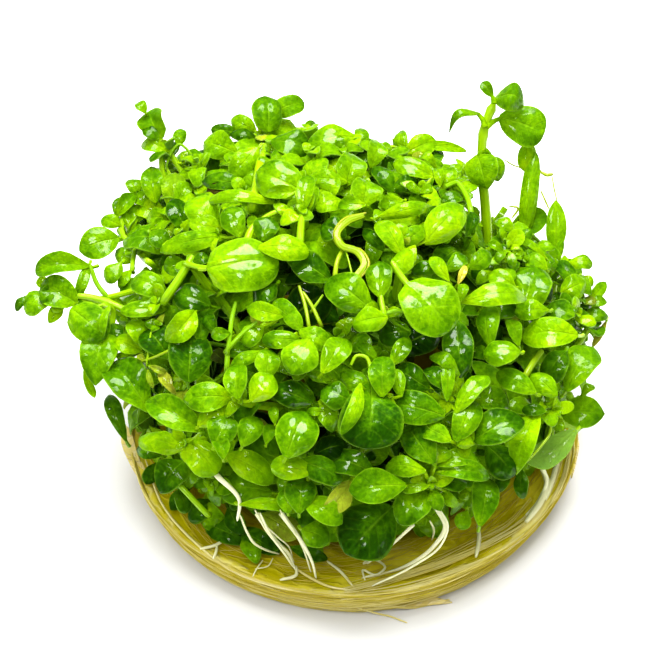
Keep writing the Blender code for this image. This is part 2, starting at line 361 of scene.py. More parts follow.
class Stock:
    """Flat leaves and straight tubes of unit size, made once each."""

    broad_leaf = (14, 22)
    fine_leaf = (8, 12)
    plain_leaf = (6, 9)
    small_leaf = (4, 6)
    rim_bias = 0.25

    def __init__(self) -> None:
        """Starts with an empty stock."""
        self.made: dict[tuple[str, int, int], bpy.types.Mesh] = {}

    def leaf(self, columns: int, rows: int) -> bpy.types.Mesh:
        """Gives a flat leaf blank.

        Args:
            columns: Faces across the blade.
            rows: Faces along the blade.

        Returns:
            A closed mesh, -1 to 1 across, 0 to 1 along and 0 to -1 through its thickness.
        """
        key = ("leaf", columns, rows)
        if key not in self.made:
            shape = bmesh.new()
            bmesh.ops.create_grid(shape, x_segments=columns, y_segments=rows, size=1.0)
            for point in shape.verts:
                side = point.co.x
                point.co.x = side * (1.0 - self.rim_bias + self.rim_bias * abs(side))
                point.co.y = math.sin(math.pi / 4 * (point.co.y + 1.0))
            bmesh.ops.solidify(shape, geom=shape.faces[:], thickness=1.0)
            bmesh.ops.recalc_face_normals(shape, faces=shape.faces[:])
            flat = shape.loops.layers.uv.new(SHADE_MAP)
            under = shape.verts.layers.float.new("under")
            for face in shape.faces:
                for corner in face.loops:
                    corner[flat].uv = (0.5 + 0.5 * corner.vert.co.x, corner.vert.co.y)
            for point in shape.verts:
                point[under] = float(point.co.z < -0.5)
            self.made[key] = self.keep("leaf", shape)
        return self.made[key]

    def tube(self, sides: int, rings: int) -> bpy.types.Mesh:
        """Gives a straight tube blank.

        Args:
            sides: Faces round the tube.
            rings: Faces along the tube.

        Returns:
            A closed mesh of radius 1, from 0 to 1 along Z.
        """
        key = ("tube", sides, rings)
        if key not in self.made:
            shape = bmesh.new()
            bmesh.ops.create_cone(
                shape, cap_ends=True, cap_tris=False, segments=sides, radius1=1.0, radius2=1.0, depth=1.0
            )
            bmesh.ops.translate(shape, verts=shape.verts[:], vec=(0.0, 0.0, 0.5))
            rising = [edge for edge in shape.edges if abs(edge.verts[0].co.z - edge.verts[1].co.z) > 0.5]
            if rings > 1:
                bmesh.ops.subdivide_edges(shape, edges=rising, cuts=rings - 1, use_grid_fill=True)
            map_round(shape, lambda place: place.z)
            self.made[key] = self.keep("tube", shape)
        return self.made[key]

    def keep(self, name: str, shape: bmesh.types.BMesh) -> bpy.types.Mesh:
        """Turns a finished blank into a mesh, with its rims creased for shading.

        Args:
            name: The mesh's name.
            shape: The blank, which is freed.

        Returns:
            The mesh.
        """
        for face in shape.faces:
            face.smooth = True
        for edge in shape.edges:
            edge.smooth = edge.calc_face_angle(0.0) < CREASE_ANGLE
        return to_mesh(name, shape)


STOCK = Stock()


@dataclass(frozen=True)
class Blade:
    """One leaf: where it runs, how wide it is and how it bends."""

    base: Vector
    tip: Vector
    facing: Vector
    width: float
    arch: float = 0.1
    cup: float = -0.15
    fold: float = 0.0
    curl: float = 0.0
    ripple: float = 0.03
    twist: float = 0.0
    phase: float = 0.0
    belly: float = 0.52
    wedge: float = 0.85
    point: float = 0.56
    thickness: float = 0.26 * MM
    wobble: float = 0.035
    dent: float = 0.02

    stalk_share = 0.13
    tip_share = 0.05
    tip_roundness = 2.2
    bow_lag = 1.12
    curl_start = 0.45
    groove_depth = 0.1
    groove_slope = 3.0
    edge_beat = 5.0
    edge_overtone = 2.7
    overtone_share = 0.35
    ripple_beat = 7.5
    dent_beat_along = 8.0
    dent_beat_across = 2.6

    def half_width(self, along: float) -> float:
        """Gives the half width: a wedge at the stalk, round at the tip.

        Args:
            along: The share of the length.

        Returns:
            The half width there.
        """
        if along < self.belly:
            swell = math.sin(math.pi / 2 * along / self.belly) ** self.wedge
            share = self.stalk_share + (1.0 - self.stalk_share) * swell
        else:
            fall = (along - self.belly) / (1.0 - self.belly)
            share = max((1.0 - min(fall, 1.0) ** self.tip_roundness) ** self.point, self.tip_share)
        return self.width / 2 * share

    def placer(self) -> Callable[[Vector], Vector]:
        """Makes the bend of this leaf.

        Returns:
            A function from a place on the flat blank to its place on the leaf.
        """
        chord = self.tip - self.base
        length = chord.length
        forward = chord / length
        across = forward.cross(self.facing).normalized()
        upward = across.cross(forward)

        def place(spot: Vector) -> Vector:
            """Gives the place on the leaf."""
            side = spot.x
            along = spot.y
            beat = self.edge_beat * along + self.phase + side
            uneven = math.sin(beat) + self.overtone_share * math.sin(self.edge_overtone * beat)
            half = self.half_width(along) * (1.0 + self.wobble * uneven)
            bow = self.arch * length * math.sin(math.pi * along ** self.bow_lag)
            drop = self.curl * length * max(along - self.curl_start, 0.0) ** 2
            bend = (self.cup * side * side + self.fold * abs(side)) * half
            swing = math.sin(self.ripple_beat * along + self.phase + side)
            wave = self.ripple * self.width * abs(side) ** 3 * swing
            groove = self.groove_depth * half * min(abs(side) * self.groove_slope, 1.0)
            dip = math.sin(self.dent_beat_along * along + self.phase)
            hollow = self.dent * self.width * dip * math.cos(self.dent_beat_across * side + self.phase)
            turn = self.twist * (along - 0.5)
            sideways = across * math.cos(turn) + upward * math.sin(turn)
            above = upward * math.cos(turn) - across * math.sin(turn)
            skin = bend + wave * math.sin(math.pi * along) + groove + hollow + spot.z * self.thickness
            return self.base + chord * along + upward * (bow - drop) + sideways * (half * side) + above * skin

        return place


class Tube:
    """A round stem or root along a route."""

    def __init__(self, points: Route, radius: Callable[[float], float], flat: float = 1.0) -> None:
        """Works out the rings' directions.

        Args:
            points: The middle of each ring.
            radius: The radius at a share of the length.
            flat: Its thickness against its width; a ribbon faces the photograph's camera.
        """
        self.points = list(points)
        self.radius = radius
        self.flat = flat
        self.sideways: list[Vector] = []
        self.upward: list[Vector] = []
        last = len(self.points) - 1
        side = Vector((1.0, 0.0, 0.0))
        for index in range(last + 1):
            way = (self.points[min(index + 1, last)] - self.points[max(index - 1, 0)]).normalized()
            if index == 0 and abs(way.x) > 0.8:
                side = Vector((0.0, 1.0, 0.0))
            if flat < 1.0:
                side = way.cross(VIEW.toward())
            side = (side - way * side.dot(way)).normalized()
            self.sideways.append(side.copy())
            self.upward.append(way.cross(side))

    def rings(self) -> int:
        """Gives the number of faces along the tube."""
        return len(self.points) - 1

    def place(self, spot: Vector) -> Vector:
        """Bends the straight blank.

        Args:
            spot: A place on the blank.

        Returns:
            Its place on the tube.
        """
        ring = round(spot.z * self.rings())
        reach = self.radius(spot.z)
        across = self.sideways[ring] * (spot.x * reach)
        return self.points[ring] + across + self.upward[ring] * (spot.y * reach * self.flat)


class Piece:
    """An object under construction, made of bent copies of the blanks."""

    def __init__(self, name: str) -> None:
        """Starts an empty piece.

        Args:
            name: The object's name.
        """
        self.name = name
        self.shape = bmesh.new()
        for mark in MARK_NAMES + ("under",):
            self.shape.verts.layers.float.new(mark)
        self.shape.loops.layers.uv.new(SHADE_MAP)

    def stamp(self, blank: bpy.types.Mesh, place: Callable[[Vector], Vector], marks: Marks) -> None:
        """Adds a bent copy of a blank.

        Args:
            blank: The mesh to copy.
            place: Where each of its points goes.
            marks: What the finish reads there.
        """
        start = len(self.shape.verts)
        self.shape.from_mesh(blank)
        self.shape.verts.ensure_lookup_table()
        layers = [self.shape.verts.layers.float[mark] for mark in MARK_NAMES]
        values = (marks.tone, marks.age, marks.wet)
        for point in self.shape.verts[start:]:
            point.co = place(point.co)
            for layer, value in zip(layers, values):
                point[layer] = value

    def leaf(self, blade: Blade, marks: Marks, grain: tuple[int, int] = Stock.plain_leaf) -> None:
        """Adds a leaf."""
        self.stamp(STOCK.leaf(*grain), blade.placer(), marks)

    def tube(self, tube: Tube, marks: Marks, sides: int = 6) -> None:
        """Adds a stem, stalk or root."""
        self.stamp(STOCK.tube(sides, tube.rings()), tube.place, marks)

    def finish(self, material: bpy.types.Material, slot: str, nodes: Sequence[str] = ()) -> bpy.types.Object:
        """Makes the object and ties it to the frame.

        Args:
            material: The finish.
            slot: Not used.
            nodes: The nodes that the piece stands for.

        Returns:
            The finished object.
        """
        return settle(self.name, to_mesh(self.name, self.shape), material, nodes)


def settle(
    name: str, mesh: bpy.types.Mesh, material: bpy.types.Material, nodes: Sequence[str] = ()
) -> bpy.types.Object:
    """Links a mesh as a piece of the object and reports it.

    Args:
        name: The object's name.
        mesh: Its mesh, in place.
        material: The finish.
        nodes: The nodes that the piece stands for.

    Returns:
        The finished object.
    """
    mesh.materials.append(material)
    piece = add_object(name, mesh)
    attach(piece, "root")
    if nodes:
        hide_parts(*nodes)
    LOG.info("%s: %d faces", name, len(mesh.polygons))
    return piece


# Shader maths


class Wire:
    """A socket that can be worked with like a number."""

    def __init__(self, graph: "Graph", socket: bpy.types.NodeSocket) -> None:
        """Wraps an output socket.

        Args:
            graph: The material that the socket is in.
            socket: The socket.
        """
        self.graph = graph
        self.socket = socket

    def math(self, operation: str, *others: "Wire | float", first: "Wire | float | None" = None) -> "Wire":
        """Adds a Math node.

        Args:
            operation: The node's operation.
            others: The values after this one.
            first: A value to put before this one.

        Returns:
            The node's result.
        """
        values = [self, *others] if first is None else [first, self]
        node = self.graph.add("ShaderNodeMath", {"operation": operation}, dict(enumerate(values)))
        return Wire(self.graph, node.outputs[0])

    def __add__(self, other: "Wire | float") -> "Wire":
        """Adds."""
        return self.math("ADD", other)

    __radd__ = __add__

    def __sub__(self, other: "Wire | float") -> "Wire":
        """Subtracts."""
        return self.math("SUBTRACT", other)

    def __rsub__(self, other: "Wire | float") -> "Wire":
        """Subtracts from a number."""
        return self.math("SUBTRACT", first=other)

    def __mul__(self, other: "Wire | float") -> "Wire":
        """Multiplies."""
        return self.math("MULTIPLY", other)

    __rmul__ = __mul__

    def __pow__(self, other: "Wire | float") -> "Wire":
        """Raises to a power."""
        return self.math("POWER", other)

    def size(self) -> "Wire":
        """Drops the sign."""
        return self.math("ABSOLUTE")

    def part(self) -> "Wire":
        """Keeps what is past the whole number."""
        return self.math("FRACT")

    def wave(self) -> "Wire":
        """Gives the sine."""
        return self.math("SINE")

    def ramp(self, low: float, high: float) -> "Wire":
        """Rises smoothly from 0 at low to 1 at high, and falls where high is the lower one."""
        node = self.graph.add(
            "ShaderNodeMapRange",
            {"interpolation_type": "SMOOTHSTEP", "clamp": True},
            {"Value": self, "From Min": low, "From Max": high, "To Min": 0.0, "To Max": 1.0},
        )
        return Wire(self.graph, node.outputs["Result"])


class Graph:
    """The nodes of a material or of the room."""

    mix_share = 0
    mix_first = 6
    mix_second = 7
    mix_result = 2

    def __init__(self, owner: bpy.types.Material | bpy.types.World) -> None:
        """Empties the node tree of a material or of a world.

        Args:
            owner: The material or the world.
        """
        self.owner = owner
        self.owner.use_nodes = True
        self.tree = self.owner.node_tree
        self.tree.nodes.clear()

    def add(self, kind: str, settings: dict | None = None, values: dict | None = None) -> bpy.types.Node:
        """Adds a node.

        Args:
            kind: The node's type.
            settings: Its own settings, set first; "stops" are a ramp's places and colours.
            values: A value or a wire for each of its sockets, by name or number.

        Returns:
            The node.
        """
        node = self.tree.nodes.new(kind)
        for key, value in (settings or {}).items():
            if key == "stops":
                self.set_stops(node.color_ramp, value)
            else:
                setattr(node, key, value)
        for key, value in (values or {}).items():
            socket = node.inputs[key]
            if isinstance(value, Wire):
                self.tree.links.new(value.socket, socket)
            elif isinstance(value, tuple) and len(value) == 3 and socket.type == "RGBA":
                socket.default_value = (*value, 1.0)
            else:
                socket.default_value = value
        return node

    def set_stops(self, ramp: bpy.types.ColorRamp, stops: Sequence[tuple[float, Colour]]) -> None:
        """Gives a ramp its places and colours.

        Args:
            ramp: The ramp, which starts with two stops.
            stops: The place and the colour of each stop.
        """
        while len(ramp.elements) < len(stops):
            ramp.elements.new(1.0)
        for element, (place, colour) in zip(ramp.elements, stops):
            element.position = place
            element.color = (*colour, 1.0)

    def wire(self, kind: str, output: str, settings: dict | None = None, values: dict | None = None) -> Wire:
        """Adds a node and gives one of its results."""
        return Wire(self, self.add(kind, settings, values).outputs[output])

    def mark(self, name: str) -> Wire:
        """Reads a number that each point of the mesh carries."""
        return self.wire("ShaderNodeAttribute", "Fac", {"attribute_name": name})

    def surface(self) -> tuple[Wire, Wire]:
        """Reads the piece's own map.

        Returns:
            How far across and how far along a point is.
        """
        flat = self.wire("ShaderNodeUVMap", "UV", {"uv_map": SHADE_MAP})
        split = self.add("ShaderNodeSeparateXYZ", None, {"Vector": flat})
        return Wire(self, split.outputs["X"]), Wire(self, split.outputs["Y"])

    def place(self) -> Wire:
        """Reads the place in the object, in metres."""
        return self.wire("ShaderNodeTexCoord", "Object")

    def stretched(self, place: Wire, scale: Colour) -> Wire:
        """Scales a place along each axis."""
        return self.wire("ShaderNodeVectorMath", "Vector", {"operation": "MULTIPLY"}, {0: place, 1: scale})

    def noise(self, place: Wire, scale: float, detail: float = 3.0, roughness: float = 0.5) -> Wire:
        """Adds a noise pattern, about 0.5 on average."""
        return self.wire(
            "ShaderNodeTexNoise", "Fac", None,
            {"Vector": place, "Scale": scale, "Detail": detail, "Roughness": roughness},
        )

    def mix(
        self, share: "Wire | float", first: "Wire | Colour", second: "Wire | Colour", how: str = "MIX"
    ) -> Wire:
        """Mixes two colours.

        Args:
            share: How much of the second one shows.
            first: The colour under it.
            second: The colour on top.
            how: The way that they are blended.

        Returns:
            The mixed colour.
        """
        node = self.add(
            "ShaderNodeMix", {"data_type": "RGBA", "blend_type": how, "clamp_factor": True},
            {self.mix_share: share, self.mix_first: first, self.mix_second: second},
        )
        return Wire(self, node.outputs[self.mix_result])

    def colours(self, value: Wire, stops: Sequence[tuple[float, Colour]]) -> Wire:
        """Turns a number into a colour by a ramp."""
        return self.wire("ShaderNodeValToRGB", "Color", {"stops": stops}, {"Fac": value})

    def bump(self, height: Wire, distance: float) -> Wire:
        """Turns a height into a normal."""
        values = {"Height": height, "Distance": distance, "Strength": 1.0}
        return self.wire("ShaderNodeBump", "Normal", None, values)

    def principled(self, values: dict) -> bpy.types.Node:
        """Adds the main shader with the values of its sockets."""
        return self.add("ShaderNodeBsdfPrincipled", None, values)

    def finish(
        self, shader: bpy.types.Node, kind: str = "ShaderNodeOutputMaterial"
    ) -> bpy.types.Material | bpy.types.World:
        """Ends the tree in a shader.

        Args:
            shader: The node whose result is the surface.
            kind: The type of the output node.

        Returns:
            The material or the world.
        """
        output = self.add(kind)
        self.tree.links.new(shader.outputs[0], output.inputs["Surface"])
        return self.owner

    def glowing(self, shader: bpy.types.Node, light: Colour, share: "Wire | float") -> bpy.types.Node:
        """Lets light through a thin surface.

        Args:
            shader: The surface's own shader.
            light: The colour of the light that comes through.
            share: How much of the surface lets light through.

        Returns:
            The node that mixes the two.
        """
        through = self.add("ShaderNodeBsdfTranslucent", None, {"Color": light})
        mixer = self.add("ShaderNodeMixShader", None, {0: share})
        self.tree.links.new(shader.outputs[0], mixer.inputs[1])
        self.tree.links.new(through.outputs[0], mixer.inputs[2])
        return mixer


# Finishes


@dataclass(frozen=True)
class LeafFinish:
    """A wet leaf: pale veins, mottled green, a paler underside and a glossy skin."""

    deep: Colour = (0.003, 0.020, 0.0002)
    dark: Colour = (0.018, 0.078, 0.0003)
    mid: Colour = (0.078, 0.208, 0.0003)
    lime: Colour = (0.2, 0.405, 0.0005)
    bright: Colour = (0.34, 0.56, 0.001)
    vein: Colour = (0.34, 0.6, 0.02)
    under: Colour = (0.2, 0.33, 0.09)
    withered: Colour = (0.54, 0.44, 0.06)
    bark: Colour = (0.045, 0.033, 0.005)
    light: Colour = (0.62, 0.86, 0.001)
    side_veins: float = 6.0
    vein_slant: float = 1.7
    midrib_width: float = 0.085
    relief: float = 0.25 * MM
    film_start: float = 0.54
    film_whole: float = 0.61
    patch_scale: float = 240.0
    drop_scale: float = 620.0
    speck_scale: float = 1500.0
    grain_scale: float = 2600.0

    def make(self) -> bpy.types.Material:
        """Makes the material.

        Returns:
            The material.
        """
        graph = Graph(bpy.data.materials.new("leaf"))
        side, along = graph.surface()
        edge = (side - 0.5).size() * 2.0
        tone = graph.mark("tone")
        age = graph.mark("age")
        wet = graph.mark("wet")
        under = graph.mark("under")
        place = graph.place()
        patches = graph.noise(place, self.patch_scale, 3.0)
        drops = graph.noise(place, self.drop_scale, 3.0, 0.6)
        specks = graph.noise(place, self.speck_scale, 4.0, 0.65)
        grain = graph.noise(place, self.grain_scale, 2.0)

        mottle = (patches - 0.5) * 0.7 + (drops - 0.5) * 0.5 + (specks - 0.5) * 0.75
        depth = tone + mottle - (along - 0.35) * 0.24 - edge * 0.08
        greens = [
            (0.0, self.deep), (0.25, self.dark), (0.5, self.mid), (0.78, self.lime), (1.0, self.bright),
        ]
        green = graph.colours(depth, greens)
        phase = (along * self.side_veins - edge * self.vein_slant + (patches - 0.5) * 0.5).part()
        rib = (phase - 0.5).size().ramp(0.12, 0.0) * edge.ramp(0.02, 0.2) * edge.ramp(1.0, 0.8)
        midrib = edge.ramp(self.midrib_width, 0.02) * along.ramp(0.9, 0.45)
        veined = graph.mix((rib * 0.12 + midrib * 0.4) * (tone * 0.6 + 0.35), green, self.vein)
        # The pale rim is partly the leaf's own thin margin and partly a painted rim light, stronger on paler
        # leaves.
        rim = edge.ramp(0.87, 1.0)
        rim_lit = graph.mix(rim * (tone * 0.5 + 0.06), veined, self.vein)
        lower = graph.mix(under * 0.75, rim_lit, self.under)
        dead = graph.mix(tone.ramp(0.2, 0.8), self.bark, self.withered)
        old = graph.mix(age * (0.55 + grain * 0.5), lower, dead)
        colour = graph.mix((grain - 0.35) * 0.55, old, (0.0, 0.0, 0.0), "MULTIPLY")

        height = specks * 0.75 + drops * 1.0 + patches * 0.9 + grain * 0.1 - midrib * 0.5 - rib * 0.22
        roughness = 0.48 - wet * 0.2 + (grain - 0.5) * 0.2
        water = patches * 0.6 + drops * 0.4 + wet * 0.14
        film = water.ramp(self.film_start, self.film_whole) * edge.ramp(1.0, 0.6)
        shader = graph.principled({
            "Base Color": colour,
            "Roughness": roughness,
            "Specular IOR Level": 0.03,
            "Coat Weight": film * (0.15 + wet * 0.85),
            "Coat Roughness": 0.08,
            "Normal": graph.bump(height, self.relief),
        })
        return graph.finish(graph.glowing(shader, self.light, (0.1 + tone * 0.24) * (1.0 - age)))


@dataclass(frozen=True)
class StemFinish:
    """A juicy yellow-green stem with faint lengthwise streaks."""

    shade: Colour = (0.05, 0.16, 0.0005)
    plain: Colour = (0.17, 0.37, 0.001)
    bright: Colour = (0.36, 0.58, 0.002)
    withered: Colour = (0.36, 0.3, 0.01)
    light: Colour = (0.6, 0.8, 0.004)
    streaks: float = 50.0
    patch_scale: float = 420.0
    relief: float = 0.08 * MM

    def make(self) -> bpy.types.Material:
        """Makes the material.

        Returns:
            The material.
        """
        graph = Graph(bpy.data.materials.new("stem"))
        side, along = graph.surface()
        tone = graph.mark("tone")
        place = graph.place()
        patches = graph.noise(place, self.patch_scale)
        streaks = (side * self.streaks + patches * 6.0).wave() * 0.5 + 0.5
        green = graph.colours(
            tone + (patches - 0.5) * 0.3 - streaks * 0.08,
            [(0.0, self.shade), (0.5, self.plain), (1.0, self.bright)],
        )
        colour = graph.mix(graph.mark("age") * (patches + 0.4), green, self.withered)
        shader = graph.principled({
            "Base Color": colour,
            "Roughness": 0.4 + (patches - 0.5) * 0.2,
            "Specular IOR Level": 0.2,
            "Coat Weight": graph.mark("wet") * patches.ramp(0.4, 0.6),
            "Coat Roughness": 0.08,
            "Normal": graph.bump(streaks * 0.4 + patches, self.relief),
        })
        return graph.finish(graph.glowing(shader, self.light, 0.2))


@dataclass(frozen=True)
class RootFinish:
    """A white root, wet and slightly see-through, greener near its shoot."""

    white: Colour = (0.86, 0.87, 0.62)
    cream: Colour = (0.6, 0.54, 0.12)
    light: Colour = (0.95, 0.93, 0.6)
    patch_scale: float = 350.0
    fibre_scale: float = 3000.0
    relief: float = 0.06 * MM

    def make(self) -> bpy.types.Material:
        """Makes the material.

        Returns:
            The material.
        """
        graph = Graph(bpy.data.materials.new("root"))
        place = graph.place()
        patches = graph.noise(place, self.patch_scale)
        fibres = graph.noise(place, self.fibre_scale, 2.0)
        share = (patches - 0.45) * 0.6 + (1.0 - graph.mark("tone"))
        colour = graph.mix(share, self.white, self.cream)
        shader = graph.principled({
            "Base Color": colour,
            "Roughness": 0.4 + (fibres - 0.5) * 0.3,
            "Specular IOR Level": 0.25,
            "Coat Weight": graph.mark("wet") * 0.5,
            "Coat Roughness": 0.1,
            "Normal": graph.bump(fibres + patches, self.relief),
        })
        return graph.finish(graph.glowing(shader, self.light, 0.25))


@dataclass(frozen=True)
class StrandFinish:
    """Thin roots pressed flat in the mat, from gold to cream."""

    gold: Colour = (0.46, 0.38, 0.012)
    straw: Colour = (0.58, 0.5, 0.07)
    cream: Colour = (0.78, 0.72, 0.34)
    light: Colour = (0.85, 0.76, 0.15)
    patch_scale: float = 180.0
    fibre_scale: float = 2400.0
    relief: float = 0.04 * MM

    def make(self) -> bpy.types.Material:
        """Makes the material.

        Returns:
            The material.
        """
        graph = Graph(bpy.data.materials.new("root_strand"))
        tone = graph.mark("tone")
        place = graph.place()
        patches = graph.noise(place, self.patch_scale)
        colour = graph.colours(
            tone + (patches - 0.5) * 0.5, [(0.0, self.gold), (0.5, self.straw), (1.0, self.cream)]
        )
        shader = graph.principled({
            "Base Color": colour,
            "Roughness": 0.4 + (patches - 0.5) * 0.2,
            "Specular IOR Level": 0.2,
            "Coat Weight": 0.25,
            "Coat Roughness": 0.12,
            "Normal": graph.bump(graph.noise(place, self.fibre_scale, 2.0), self.relief),
        })
        return graph.finish(graph.glowing(shader, self.light, 0.35))


@dataclass(frozen=True)
class JellyFinish:
    """Golden plant jelly with root threads swirling in it, with painted shade on the middle of its top, under
    the leaves.
    """

    name: str = "jelly"
    deep: Colour = (0.2, 0.18, 0.0004)
    golden: Colour = (0.44, 0.4, 0.0008)
    pale: Colour = (0.68, 0.61, 0.05)
    light: Colour = (0.9, 0.78, 0.01)
    painted_foot_colour: Colour = (0.9, 0.87, 0.6)
    painted_shade: Colour = (0.012, 0.022, 0.0006)
    painted_shade_radius: float = 25.0 * MM
    threads: float = 0.45
    thread_rounds: float = 46.0
    thread_slant: float = 5.0
    thread_sway: float = 24.0
    painted_foot_light: float = 0.0
    painted_glow: float = 0.13
    cloud_scale: float = 90.0
    swirl_scale: float = 120.0
    relief: float = 0.25 * MM

    def make(self) -> bpy.types.Material:
        """Makes the material.

        Returns:
            The material.
        """
        graph = Graph(bpy.data.materials.new(self.name))
        turn, height = graph.surface()
        place = graph.place()
        clouds = graph.noise(place, self.cloud_scale, 4.0, 0.6)
        bent = graph.stretched(place, (1.0, 1.0, 6.0))
        swirl = graph.noise(bent, self.swirl_scale, 3.0, 0.55)
        winding = height * self.thread_rounds + turn * self.thread_slant + swirl * self.thread_sway
        thread = (winding.wave() * 0.5 + 0.5) ** 5.0
        body = graph.colours(
            clouds * 1.1 + (swirl - 0.5) * 0.7, [(0.25, self.deep), (0.55, self.golden), (0.85, self.pale)]
        )
        threaded = graph.mix(thread * self.threads, body, self.pale)
        # Painted light: the foot of the wall is mixed towards pale cream, standing in for light coming
        # through the thin edge.
        foot_lit = graph.mix(height.ramp(1.85, 1.3) * self.painted_foot_light, threaded, self.painted_foot_colour)
        axis = graph.stretched(place, (1.0, 1.0, 0.0))
        radius = graph.wire("ShaderNodeVectorMath", "Value", {"operation": "LENGTH"}, {0: axis})
        rise = Wire(graph, graph.add("ShaderNodeSeparateXYZ", None, {"Vector": place}).outputs["Z"])
        # Painted shade: the top of the jelly is darkened near its middle, where the leaves shade it.
        shaded = radius.ramp(self.painted_shade_radius * 1.2, self.painted_shade_radius) * rise.ramp(4.0 * MM, 6.0 * MM)
        colour = graph.mix(shaded, foot_lit, self.painted_shade)
        shader = graph.principled({
            "Base Color": colour,
            "Roughness": 0.3 + clouds * 0.2,
            "Specular IOR Level": 0.15,
            "Coat Weight": clouds.ramp(0.45, 0.65) * 0.35,
            "Coat Roughness": 0.08,
            "IOR": 1.35,
            # Painted glow: the emission stands in for light scattered inside the jelly.
            "Emission Color": colour,
            "Emission Strength": self.painted_glow,
            "Normal": graph.bump(thread * 0.8 + clouds * 2.0 + swirl, self.relief),
        })
        return graph.finish(graph.glowing(shader, self.light, 0.3))


@dataclass(frozen=True)
class FloorFinish:
    """A plain pale floor."""

    white: Colour = (0.62, 0.62, 0.62)
    speck: Colour = (0.6, 0.6, 0.6)

    def make(self) -> bpy.types.Material:
        """Makes the material.

        Returns:
            The material.
        """
        graph = Graph(bpy.data.materials.new("floor"))
        grain = graph.noise(graph.place(), 40.0)
        colour = graph.mix(grain * 0.03, self.white, self.speck)
        shader = graph.principled({"Base Color": colour, "Roughness": 0.9, "Specular IOR Level": 0.1})
        return graph.finish(shader)


@dataclass(frozen=True)
class Finishes:
    """Every material, made once."""

    leaf: bpy.types.Material = field(default_factory=lambda: LeafFinish().make())
    stem: bpy.types.Material = field(default_factory=lambda: StemFinish().make())
    root: bpy.types.Material = field(default_factory=lambda: RootFinish().make())
    strand: bpy.types.Material = field(default_factory=lambda: StrandFinish().make())
    jelly: bpy.types.Material = field(default_factory=lambda: JellyFinish().make())
    film: bpy.types.Material = field(
        default_factory=lambda: JellyFinish(
            name="mat_film", deep=(0.46, 0.39, 0.01), golden=(0.61, 0.54, 0.05), pale=(0.8, 0.74, 0.36),
            threads=0.4, painted_foot_light=0.75, painted_glow=0.13,
        ).make()
    )
    fray: bpy.types.Material = field(
        default_factory=lambda: JellyFinish(
            name="fray", deep=(0.5, 0.42, 0.1), golden=(0.66, 0.58, 0.25), pale=(0.85, 0.8, 0.58),
            threads=0.4, painted_glow=0.1,
        ).make()
    )
    floor: bpy.types.Material = field(default_factory=lambda: FloorFinish().make())


# The pad


@dataclass(frozen=True)
class PadShape:
    """Sizes of the jelly pad and of the root mat round it."""

    height: float = 7.0 * MM
    top_radius: float = 39.7 * MM
    bottom_radius: float = 36.5 * MM
    mat: float = 1.5 * MM
    lip: float = 0.8 * MM
    bulge: float = 0.5 * MM
    rise: float = 0.5 * MM
    gap: float = 0.3 * MM
    steps: int = 120
    uneven: float = 0.009

    def lobe(self, turn: float) -> float:
        """Gives how far out of round the pad is in a direction, as a scale."""
        return 1.0 + self.uneven * (math.sin(3.0 * turn + 0.8) + 0.6 * math.sin(5.0 * turn + 2.0))

    def wall(self, height: float) -> float:
        """Gives the outside radius of the mat.

        Args:
            height: A height over the floor.

        Returns:
            The radius there.
        """
        share = height / (self.height + self.lip)
        taper = self.bottom_radius + (self.top_radius - self.bottom_radius) * share
        return taper + self.bulge * math.sin(math.pi * share)

    def on_pad(self, pixel: Pixel, lift: float) -> Vector:
        """Finds where a pixel's ray meets the pad.

        Args:
            pixel: A pixel of the photograph.
            lift: How far off the pad's surface the place is.

        Returns:
            A place on the pad's top, or on its wall where the ray misses the top.
        """
        level = self.height + self.lip + lift
        steps = 60
        for step in range(steps + 1):
            height = max(level * (1.0 - step / steps), lift)
            place = VIEW.at_height(pixel, height)
            reach = self.wall(min(height, self.height)) * self.lobe(math.atan2(place.y, place.x))
            if math.hypot(place.x, place.y) <= reach + lift:
                return place
        return place

    def turned(self, name: str, profile: Sequence[tuple[float, float]], closed: bool) -> bmesh.types.BMesh:
        """Turns a profile of radii and heights round the Z axis.

        Args:
            name: The name of the shape.
            profile: Its points, from the top down its outer side.
            closed: Whether the last point joins the first.

        Returns:
            The turned shape, with a map of its turn and its run.
        """
        shape = bmesh.new()
        points = [shape.verts.new((radius, 0.0, height)) for radius, height in profile]
        edges = [shape.edges.new(pair) for pair in zip(points, points[1:])]
        if closed:
            edges.append(shape.edges.new((points[-1], points[0])))
        bmesh.ops.spin(
            shape, geom=points + edges, cent=(0.0, 0.0, 0.0), axis=(0.0, 0.0, 1.0), dvec=(0.0, 0.0, 0.0),
            angle=math.tau, steps=self.steps, use_merge=True, use_duplicate=False,
        )
        bmesh.ops.remove_doubles(shape, verts=shape.verts[:], dist=0.01 * MM)
        bmesh.ops.recalc_face_normals(shape, faces=shape.faces[:])
        for face in shape.faces:
            face.smooth = True
        map_round(shape, lambda place: (place.z + 0.25 * math.hypot(place.x, place.y)) / self.height)
        LOG.info("turned %s: %d faces", name, len(shape.faces))
        return shape


PAD = PadShape()


